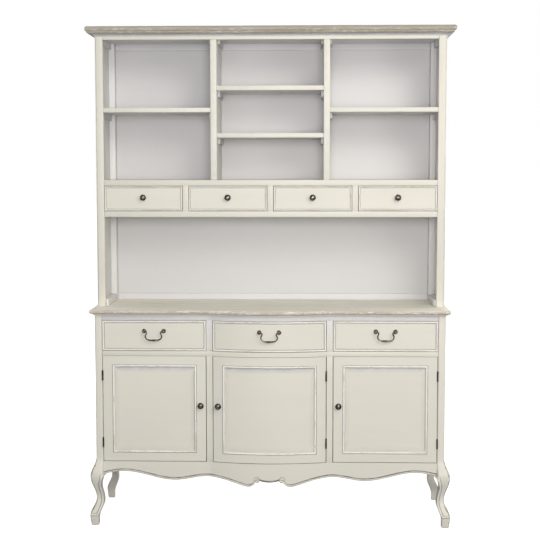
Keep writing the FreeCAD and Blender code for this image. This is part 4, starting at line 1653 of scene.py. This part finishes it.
@dataclass
class Apron:
    """Front apron with a wavy lower edge, a raised bead along it and a scroll each side of the middle.

    Knots are x and drop below the top. The scroll's wind is its first angle and its turn at each step, in degrees.
    The bead's turn down to the leg is in millimetres: in from the post, forward and up.
    """

    legs: Legs
    top: float = 0.25875
    half: float = 0.67025
    thickness: float = 0.022
    knots: Sequence[Step] = ((0.67025, 0.0530), (0.59195, 0.0400), (0.37570, 0.0745), (0.262, 0.0590),
                             (0.106, 0.0885), (0.081, 0.0924), (0.0665, 0.0868), (0.0570, 0.0765),
                             (0.0480, 0.0725), (0.0410, 0.0675))
    scroll: Step = (0.051, 0.064)
    scroll_radius: float = 10 * MM
    middle_drop: float = 0.0745
    bead: float = 3.8 * MM
    leg_bead: float = 5.2 * MM
    bead_sink: float = 0.8 * MM
    line: float = 1.7 * MM
    strip: Step = (7.2 * MM, 10.8 * MM)
    wind: Step = (-60.0, 15.0)
    wind_steps: int = 22
    wind_reach: Step = (0.20, 0.55)
    wind_bead: Step = (0.6, 0.9)
    scroll_gap: float = 1.2 * MM
    turn_down: Sequence[Point] = ((8.0, 4.0, 3.2), (2.5, 11.0, -1.0))
    leg_ends: Step = (12 * MM, 6 * MM)
    toe_run: Step = (0.25, 0.9)
    glaze_ends: Step = (4 * MM, 9 * MM)
    glaze_gap: float = 0.9 * MM
    ring_turn: float = 0.985
    wave_points: int = 160
    middle_points: int = 14
    leg_points: int = 26
    toe_points: int = 6
    glaze_points: int = 30
    ring_points: int = 25
    under_painted_shade: float = 0.5
    bead_side_glaze: float = 0.9
    bead_leg_glaze: float = 0.1
    bead_wave_glaze: float = 0.4
    bead_rub_and_highlight: float = 0.5
    ring_glaze: float = 0.7
    columns: int = 360
    rows: int = 8

    def curve(self) -> list[Step]:
        """The right half of the lower edge.

        Returns:
            x and drop from the middle to the post.
        """
        x = np.array([k[0] for k in self.knots])
        drop = np.array([k[1] for k in self.knots])
        length = np.concatenate([[0.0], np.cumsum(np.hypot(np.diff(x), np.diff(drop)))])
        share = np.linspace(0.0, length[-1], self.wave_points)
        wave = list(zip(natural_spline(length, x, share), natural_spline(length, drop, share)))[::-1]
        under = wave[0]
        sag = (0.0, 2 * self.middle_drop - under[1])
        middle = [(s * under[0], quadratic((-under[0], under[1]), sag, under, 0.5 + s / 2)[1])
                  for s in np.linspace(0.0, 1.0, self.middle_points)[:-1]]
        return middle + wave

    def __post_init__(self) -> None:
        """Keeps the lower edge's points."""
        self.xs, self.drops = zip(*self.curve())

    def edge(self, x: float) -> float:
        """Height of the lower edge at x."""
        return self.top - float(np.interp(abs(x), self.xs, self.drops))

    def board(self) -> Piece:
        """The apron board, bowed with the front and straight behind.

        Returns:
            The undressed board.
        """
        strip = self.strip

        def place(u: float, v: float) -> Point:
            """A point of the board's face from its place on the sheet."""
            x = self.half * (2 * u - 1)
            low = self.edge(x)
            row = round(v * self.rows)
            if row < 3:
                return x, BOW.front, low + (0.0, *strip)[row]
            share = (row - 2) / (self.rows - 2)
            return x, BOW.front, low + strip[1] + (self.top - low - strip[1]) * share

        def glaze(face: Any) -> float:
            """Strength of the glaze on the face, and of the painted shade on the underside."""
            over = face.center.z - self.edge(face.center.x)
            # the underside is darkened as painted shade
            if face.normal.y > -0.9:
                return self.under_painted_shade if face.normal.z < -0.3 else 0.0
            if abs(face.center.x) < self.scroll[0] - self.scroll_radius:
                return 1.0 if over < strip[0] else 0.0
            return 1.0 if strip[0] < over < strip[1] else 0.0

        piece = Piece.sheet("front_apron_shaped", self.columns, self.rows, place)
        piece.thicken((0.0, self.thickness, 0.0)).tint(Tint.GLAZE, glaze)
        return BOW.bend(piece, BOW.front + self.thickness).smooth(40.0)

    def bead_line(self) -> list[Point]:
        """Middle line of the right-hand bead: out of the scroll, along the edge and down the leg to the toe.

        Returns:
            The line's points.
        """
        y = BOW.front + self.bead_sink
        points = []
        for step in range(self.wind_steps):
            angle = math.radians(self.wind[0] + self.wind[1] * step)
            share = self.wind_reach[0] + self.wind_reach[1] * step / (self.wind_steps - 1)
            points.append(self.round_scroll(self.scroll_radius * share, angle, y))
        line = [p for p in self.curve() if p[0] > self.scroll[0] + 5 * MM]
        for x, drop in line[:-2]:
            points.append((x, y, self.top - drop + self.bead))
        end = self.top - line[-1][1]
        points += [(self.half - x * MM, y - out * MM, end + rise * MM) for x, out, rise in self.turn_down]
        toe = self.legs.swells[1][0]
        for height in np.linspace(end - self.leg_ends[0], toe + self.leg_ends[1], self.leg_points):
            swell, reach = self.legs.at(height)
            points.append((self.legs.half - reach + self.leg_bead, BOW.front - swell + self.bead_sink, height))
        swell, reach = self.legs.at(toe)
        for share in np.linspace(*self.toe_run, self.toe_points):
            points.append((self.legs.half - reach + share * (reach + swell), BOW.front - swell + self.bead_sink,
                           toe + (2 + 3 * share) * MM))
        return points

    def leg_line(self) -> list[Point]:
        """Glaze line between the bead and the face of the right-hand leg.

        Returns:
            The line's points.
        """
        top = self.edge(self.half) + self.glaze_ends[0]
        points = []
        for height in np.linspace(top, self.legs.swells[1][0] + self.glaze_ends[1], self.glaze_points):
            swell, reach = self.legs.at(height)
            points.append((self.legs.half - reach + 2 * self.leg_bead + self.glaze_gap,
                           BOW.front - swell + self.line - 0.3 * MM, height))
        return points

    def round_scroll(self, radius: float, angle: float, y: float) -> Point:
        """Point at a radius and an angle from the middle of the right-hand scroll."""
        return self.scroll[0] + radius * math.cos(angle), y, self.top - self.scroll[1] + radius * math.sin(angle)

    def scroll_ring(self) -> list[Point]:
        """Glaze line round the right-hand scroll.

        Returns:
            The line's points.
        """
        radius = self.scroll_radius + self.scroll_gap
        y = BOW.front + self.line - 0.5 * MM
        angles = np.linspace(0.0, self.ring_turn * math.tau, self.ring_points)
        return [self.round_scroll(radius, angle, y) for angle in angles]

    def beads(self) -> Piece:
        """Both beads, half sunk in the apron and the legs, with the glaze lines beside them.

        Returns:
            The undressed beads.
        """
        line = self.bead_line()
        radii = [self.leg_bead if x > self.half else self.bead for x, _, _ in line]
        thin, full = (share * self.bead for share in self.wind_bead)
        radii[:self.wind_steps] = np.linspace(thin, full, self.wind_steps)
        right = Piece.tube("beads", line, radii, smooth=2, sides=4)

        def glaze(face: Any) -> float:
            """Strength of the glaze on a face."""
            if face.normal.y > -0.45:
                return self.bead_side_glaze
            on_wave = self.knots[6][0] <= face.center.x <= self.half
            return self.bead_wave_glaze if on_wave else self.bead_leg_glaze

        right.tint(Tint.GLAZE, glaze)
        # the bead's front is rubbed pale as wear and as a painted highlight
        right.tint(Tint.RUB, lambda face: self.bead_rub_and_highlight if face.normal.y < -0.8 else 0.0)
        for path, strength in ((self.leg_line(), 1.0), (self.scroll_ring(), self.ring_glaze)):
            dark = Piece.tube("line", path, [self.line] * len(path), smooth=2, sides=2)
            right.join([dark.tint(Tint.GLAZE, lambda face: strength)])
        BOW.bend(right)
        return right.join([right.twin("left_beads")]).smooth(60.0)

    def build(self) -> Piece:
        """The apron with its beads, dressed."""
        return self.board().join([self.beads()]).dress("carcass", "cream_paint", "front_apron")


def natural_spline(knots: np.ndarray, values: np.ndarray, places: np.ndarray) -> np.ndarray:
    """Smooth cubic line.

    Args:
        knots: Places along the line, from low to high.
        values: Values at the knots.
        places: Where the line is read.

    Returns:
        The values there.
    """
    count = len(knots)
    gaps = np.diff(knots)
    matrix = np.eye(count)
    right = np.zeros(count)
    for i in range(1, count - 1):
        matrix[i, i - 1:i + 2] = gaps[i - 1], 2 * (gaps[i - 1] + gaps[i]), gaps[i]
        right[i] = 6 * ((values[i + 1] - values[i]) / gaps[i] - (values[i] - values[i - 1]) / gaps[i - 1])
    bends = np.linalg.solve(matrix, right)
    index = np.clip(np.searchsorted(knots, places) - 1, 0, count - 2)
    gap = gaps[index]
    a = (knots[index + 1] - places) / gap
    b = (places - knots[index]) / gap
    return (a * values[index] + b * values[index + 1]
            + ((a ** 3 - a) * bends[index] + (b ** 3 - b) * bends[index + 1]) * gap ** 2 / 6)


def quadratic(start: Step, pull: Step, end: Step, share: float) -> Step:
    """Point on a curve that a third point draws to itself.

    Args:
        start: Where the curve starts.
        pull: The third point.
        end: Where the curve ends.
        share: How far along the curve, from 0 to 1.

    Returns:
        The point.
    """
    a, b, c = (1 - share) ** 2, 2 * share * (1 - share), share ** 2
    return a * start[0] + b * pull[0] + c * end[0], a * start[1] + b * pull[1] + c * end[1]


@dataclass
class BaseFrame:
    """Rails and stiles of the base's front, bowed in the middle, and the framed sides."""

    half: float = 0.67025
    thickness: float = 0.022
    top_rail: Step = (0.831, 0.852)
    drawer_rail: Step = (0.688, 0.708)
    stile: Step = (0.2275, 0.2525)
    apron_top: float = 0.25875
    soft: float = 0.9 * MM
    slices: int = 84
    stile_set: float = 0.1 * MM
    stile_columns: int = 7
    stile_steps: int = 8
    painted_counter_shadow: float = 0.13
    rail_glaze: float = 0.12
    stile_glaze: float = 0.2
    side_glaze: float = 0.4
    side_outer: float = 0.69625
    side_depth: Step = (-0.1385, 0.2025)
    side_top: float = 0.792
    side_low: float = 0.20575
    side_rail_top: float = 0.30075
    side_rise: float = 0.018
    side_panel: Step = (0.67625, 0.68625)
    arch_steps: int = 32

    def front(self) -> Piece:
        """The face frame, with painted shade that greys it towards the counter and darkens the top rail under it.

        Returns:
            The undressed frame.
        """
        back = BOW.front + self.thickness
        end = BOW.half_span + BOW.ease
        places = evenly(-end, end, self.slices) + [-end, end]
        made = []
        # the top rail's flat faces carry glaze as a painted shadow of the counter
        for (z0, z1), shade in ((self.top_rail, self.painted_counter_shadow), (self.drawer_rail, 0.0)):
            rail = Piece.box("face_frame_bowed", (-self.half, BOW.front, z0), (self.half, back, z1))
            made.append(age_edges(rail.soften(self.soft), self.rail_glaze + shade, shade).slice(0, places))
        for z0, z1 in ((self.drawer_rail[1], self.top_rail[0]), (self.apron_top, self.drawer_rail[0])):
            stile = Piece.box("stile", (self.stile[0], BOW.front + self.stile_set, z0 - self.soft),
                              (self.stile[1], back, z1 + self.soft))
            age_edges(stile.soften(self.soft), self.stile_glaze).slice(0, evenly(*self.stile, self.stile_columns))
            stile.slice(2, evenly(z0, z1, self.stile_steps))
            made += [stile, stile.twin("left_stile")]
        piece = made[0].join(made[1:])
        low, high = self.drawer_rail[1], self.top_rail[0]
        # painted shade: grey rises up the stiles from the drawer rail and covers the top rail under the counter
        piece.tint(Tint.INSIDE, lambda face: min(max((face.center.z - low) / (high - low), 0.0), 1.0))
        return BOW.bend(piece, back).smooth()

    def side(self) -> Piece:
        """The right side: top rail, arched bottom rail and panel.

        Returns:
            The undressed side.
        """
        y0, y1 = self.side_depth
        top = Piece.box("base_right_side_framed", (self.half, y0, self.side_top),
                        (self.side_outer, y1, self.top_rail[1])).soften(self.soft)
        panel = Piece.box("panel", (self.side_panel[0], y0, self.side_rail_top - self.soft),
                          (self.side_panel[1], y1, self.side_top + self.soft)).soften(self.soft)

        def place(u: float, v: float) -> Point:
            """A point of the arched rail from its place on the sheet."""
            low = self.side_low + self.side_rise * 4 * u * (1 - u)
            return self.half, y1 + (y0 - y1) * u, low + (self.side_rail_top - low) * v

        rail = Piece.sheet("rail", self.arch_steps, 1, place)
        rail.thicken((self.side_outer - self.half, 0.0, 0.0)).soften(self.soft, angle=40.0)
        return age_edges(top.join([panel, rail]), self.side_glaze).smooth()

    def build(self) -> None:
        """Face frame and sides, dressed."""
        self.front().dress("carcass", "cream_paint", "face_frame")
        dress_pair(self.side(), "base_right_side", "framed")


# Fittings

@dataclass
class Fittings:
    """Turned knobs and swan-neck bails of dark cast metal.

    Profiles are radius and reach, and the bail's points x, z and radius, in millimetres.
    """

    knob: Sequence[Step] = ((0.0, 0.0), (9.0, 0.0), (9.0, 1.2), (8.4, 2.1), (6.6, 2.6), (5.4, 3.4), (4.9, 5.0),
                            (4.9, 8.6), (5.6, 10.6), (8.4, 11.8), (11.2, 13.2), (12.3, 14.8), (12.5, 16.4),
                            (12.1, 18.0), (11.2, 19.1), (10.3, 19.4), (9.8, 19.0), (9.2, 19.3), (8.2, 20.6),
                            (6.6, 21.7), (4.9, 22.2), (4.3, 21.8), (3.6, 22.0), (2.8, 22.8), (1.5, 23.0),
                            (0.0, 23.0))
    post: Sequence[Step] = ((0.0, 0.0), (9.0, 0.0), (9.0, 1.0), (8.5, 1.9), (7.4, 2.3), (6.8, 2.1), (6.2, 2.4),
                            (5.2, 3.6), (4.0, 4.6), (3.5, 6.0), (3.4, 9.5), (3.9, 11.4), (5.0, 13.6), (5.5, 16.0),
                            (5.5, 18.0), (5.0, 20.2), (4.0, 21.6), (2.4, 22.4), (0.0, 22.6))
    rosette: float = 9 * MM
    reach: float = 17 * MM
    tip_rub_and_highlight: float = 1.4 * MM
    bail: Sequence[Point] = (
        (0.0, -35.7, 3.7), (5.0, -35.6, 3.7), (10.0, -35.4, 3.4), (15.0, -35.0, 2.9), (19.0, -34.4, 2.5),
        (23.5, -33.0, 2.3), (28.2, -30.0, 2.3), (31.6, -25.6, 2.3), (33.0, -20.6, 2.3), (32.2, -16.0, 2.3),
        (30.0, -12.0, 2.3), (28.0, -8.4, 2.3), (27.7, -5.2, 2.3), (29.4, -2.0, 2.3), (32.6, 0.0, 2.3),
        (35.5, 0.0, 2.3), (39.0, 0.0, 2.3))

    def turn(self, name: str, profile: Sequence[Step], foot: Point) -> Piece:
        """One turned fitting, darker in its hollows and rubbed brighter on its tip, as wear and as a painted
        highlight.

        Args:
            name: Name of the piece.
            profile: Its profile.
            foot: Middle of its foot.

        Returns:
            The undressed piece.
        """
        piece = Piece.turned(name, [(r * MM, f * MM) for r, f in profile], foot)
        tip = foot[1] - profile[-1][1] * MM
        piece.tint(Tint.GLAZE, lambda face: 1.0 if face.normal.y > -0.3 else 0.0)
        # the tip is brightened as wear and as a painted highlight
        piece.tint(Tint.RUB, lambda face: 1.0 if face.center.y < tip + self.tip_rub_and_highlight else 0.0)
        return piece.smooth(50.0)

    def knob_piece(self, node: str, body: str) -> Piece:
        """A knob in place of its node.

        Args:
            node: The knob's node.
            body: Body that it rides on.

        Returns:
            The dressed piece.
        """
        low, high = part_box(node)
        foot = ((low.x + high.x) / 2, high.y, (low.z + high.z) / 2)
        return self.turn(f"{node}_turned", self.knob, foot).dress(body, "pewter", node)

    def handle(self, bay: Bay) -> None:
        """Posts and bail of one drawer, dressed.

        Args:
            bay: The drawer's bay.
        """
        node = f"{bay.value}_handle_posts"
        low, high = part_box(node)
        height = (low.z + high.z) / 2
        posts = [self.turn(f"{node}_turned", self.post, (x, high.y, height))
                 for x in (low.x + self.rosette, high.x - self.rosette)]
        posts[0].join(posts[1:]).dress(f"{bay.value}_drawer", "pewter", node)
        middle = (low.x + high.x) / 2
        half = [(x * MM, z * MM, r * MM) for x, z, r in self.bail]
        line = [(-x, z, r) for x, z, r in half[:0:-1]] + half
        points = [(middle + x, high.y - self.reach, height + z) for x, z, _ in line]
        bail = Piece.tube(f"{bay.value}_bail_cast", points, [r for _, _, r in line], smooth=4, sides=5)
        bail.tint(Tint.GLAZE, lambda face: 1.0 if face.normal.y > 0.2 else 0.0)
        bail.smooth(60.0).dress(f"{bay.value}_drawer_bail", "pewter", f"{bay.value}_bail")

    def build(self) -> None:
        """All the knobs and handles, dressed."""
        for bay in Bay:
            self.handle(bay)
            self.knob_piece(f"{bay.value}_door_knob", f"{bay.value}_door")
        for index in range(1, HutchDrawers.count + 1):
            self.knob_piece(f"hutch_drawer_{index}_knob", f"hutch_drawer_{index}")


# Studio

@dataclass(frozen=True)
class Lamp:
    """A round soft light."""

    name: str
    place: Point
    aim: Point
    size: float
    power: float
    colour: Colour

    def build(self) -> None:
        """Hangs the light."""
        light = bpy.data.lights.new(self.name, "AREA")
        light.shape = "DISK"
        light.size = self.size
        light.energy = self.power
        light.color = self.colour
        lamp = bpy.data.objects.new(self.name, light)
        lamp.location = self.place
        lamp.rotation_mode = "QUATERNION"
        lamp.rotation_quaternion = (Vector(self.aim) - Vector(self.place)).to_track_quat("-Z", "Y")
        lamp.visible_camera = False
        bpy.context.scene.collection.objects.link(lamp)


@dataclass
class Studio:
    """Pale floor, soft light and the camera of the photograph."""

    camera_place: Point = (0.15, -4.9095, 1.4262)
    yaw: float = 1.785
    pitch: float = 4.7342
    roll: float = -0.0439
    lens: float = 80.0
    sensor: float = 36.0
    surround: float = 0.20
    surround_low: Colour = (0.92, 0.96, 1.04)
    surround_high: Colour = (1.0, 1.03, 1.08)
    floor_size: float = 80.0
    floor_drop: float = 0.5 * MM
    floor_coat: float = 0.45
    glow_reach: Step = (0.6, 4.0)
    glow_near: Colour = (0.76, 0.76, 0.76)
    white: Colour = (1.0, 1.0, 1.0)
    lamps: Sequence[Lamp] = (
        Lamp("key", (1.75, -4.1, 3.6), (0.0, 0.0, 1.3), 2.0, 80.0, (1.0, 0.968, 0.905)),
        Lamp("front", (0.25, -4.6, 1.65), (0.0, 0.0, 1.45), 1.2, 90.0, (1.0, 0.985, 0.965)),
        Lamp("fill", (-0.9, -3.5, 1.7), (-0.2, 0.0, 1.5), 1.9, 9.0, (0.92, 0.96, 1.0)),
        Lamp("right", (2.2, -2.4, 1.7), (0.4, 0.0, 1.3), 1.0, 11.0, (1.0, 0.985, 0.95)),
        Lamp("right_side", (4.4, 0.9, 2.0), (0.0, 0.1, 1.1), 2.4, 110.0, (1.0, 0.975, 0.93)),
        Lamp("left_side", (-4.4, 0.9, 2.0), (0.0, 0.1, 1.1), 2.4, 90.0, (1.0, 0.98, 0.95)),
        Lamp("behind", (0.6, 4.6, 2.2), (0.0, 0.2, 1.1), 2.4, 120.0, (1.0, 0.98, 0.95)))

    def build(self) -> None:
        """Sets the floor, the lights and the camera."""
        self.floor()
        self.surround_light()
        for lamp in self.lamps:
            lamp.build()
        self.camera()
        bpy.context.scene.view_settings.view_transform = "Standard"

    def floor(self) -> None:
        """A wide white floor that glows a little, so that shadows on it stay faint."""
        bpy.ops.object.select_all(action="DESELECT")
        bpy.ops.mesh.primitive_plane_add(size=self.floor_size, location=(0.0, 0.0, -self.floor_drop))
        floor = bpy.context.object
        floor.name = "floor"
        shop = NodeShop.start("floor")
        length = shop.node("ShaderNodeVectorMath", {"operation": "LENGTH"}, {0: shop.place})
        reach = Value(shop, length.outputs["Value"])
        glow = shop.blend(reach.between(*self.glow_reach), self.glow_near, self.white)
        floor.data.materials.append(shop.finish({
            "Base Color": (*[self.floor_coat] * 3, 1.0), "Roughness": 0.9, "Specular IOR Level": 0.05,
            "Emission Color": glow, "Emission Strength": 1.0}))
        floor.visible_diffuse = False
        floor.visible_glossy = False

    def surround_light(self) -> None:
        """A white backdrop whose own light on the piece is dim and cool, dimmest from below."""
        world = bpy.data.worlds.new("surround")
        bpy.context.scene.world = world
        shop = NodeShop(world)
        ray = shop.node("ShaderNodeTexCoord").outputs["Generated"]
        height = Value(shop, shop.node("ShaderNodeSeparateXYZ", {}, {0: ray}).outputs["Z"])
        colour = shop.blend(height.between(-0.5, 0.5), self.surround_low, self.surround_high)
        dim = shop.node("ShaderNodeBackground", {}, {"Color": colour, "Strength": self.surround})
        white = shop.node("ShaderNodeBackground", {}, {"Color": (*self.white, 1.0), "Strength": 1.0})
        seen = shop.node("ShaderNodeLightPath").outputs["Is Camera Ray"]
        mixed = shop.node("ShaderNodeMixShader", {}, {0: seen, 1: dim.outputs[0], 2: white.outputs[0]})
        shop.node("ShaderNodeOutputWorld", {}, {"Surface": mixed.outputs[0]})

    def camera(self) -> None:
        """The camera at the photograph's place."""
        yaw, pitch, roll = (math.radians(a) for a in (self.yaw, self.pitch, self.roll))
        camera = bpy.data.cameras.new("camera")
        camera.lens = self.lens
        camera.sensor_width = self.sensor
        eye = bpy.data.objects.new("camera", camera)
        turn = (Matrix.Rotation(yaw, 4, "Z") @ Matrix.Rotation(math.pi / 2 - pitch, 4, "X")
                @ Matrix.Rotation(roll, 4, "Z"))
        eye.matrix_world = Matrix.Translation(self.camera_place) @ turn
        bpy.context.scene.collection.objects.link(eye)
        bpy.context.scene.camera = eye


def dress_nodes() -> None:
    """Gives every node that still shows its finish by its record slot."""
    slots = {part["node"]: part["material_slot"] for part in frame["record"]["subparts"]}
    for name, obj in frame["nodes"].items():
        if obj.hide_render:
            continue
        obj.data.materials.clear()
        obj.data.materials.append(finisher.material(slots[name]))


def main() -> None:
    """Builds the dresser's pieces, then the studio."""
    logging.basicConfig(level=logging.INFO, format="%(name)s: %(message)s")
    hutch = Hutch()
    hutch.build()
    Cornice(hutch).build()
    legs = Legs()
    legs.build()
    Apron(legs).build()
    BaseFrame().build()
    for bay in Bay:
        DrawerRow().build(bay)
        DoorSet().build(bay)
    HutchDrawers().build()
    counter_top()
    cornice_top()
    Fittings().build()
    dress_nodes()
    Studio().build()


if __name__ == "__main__":
    main()
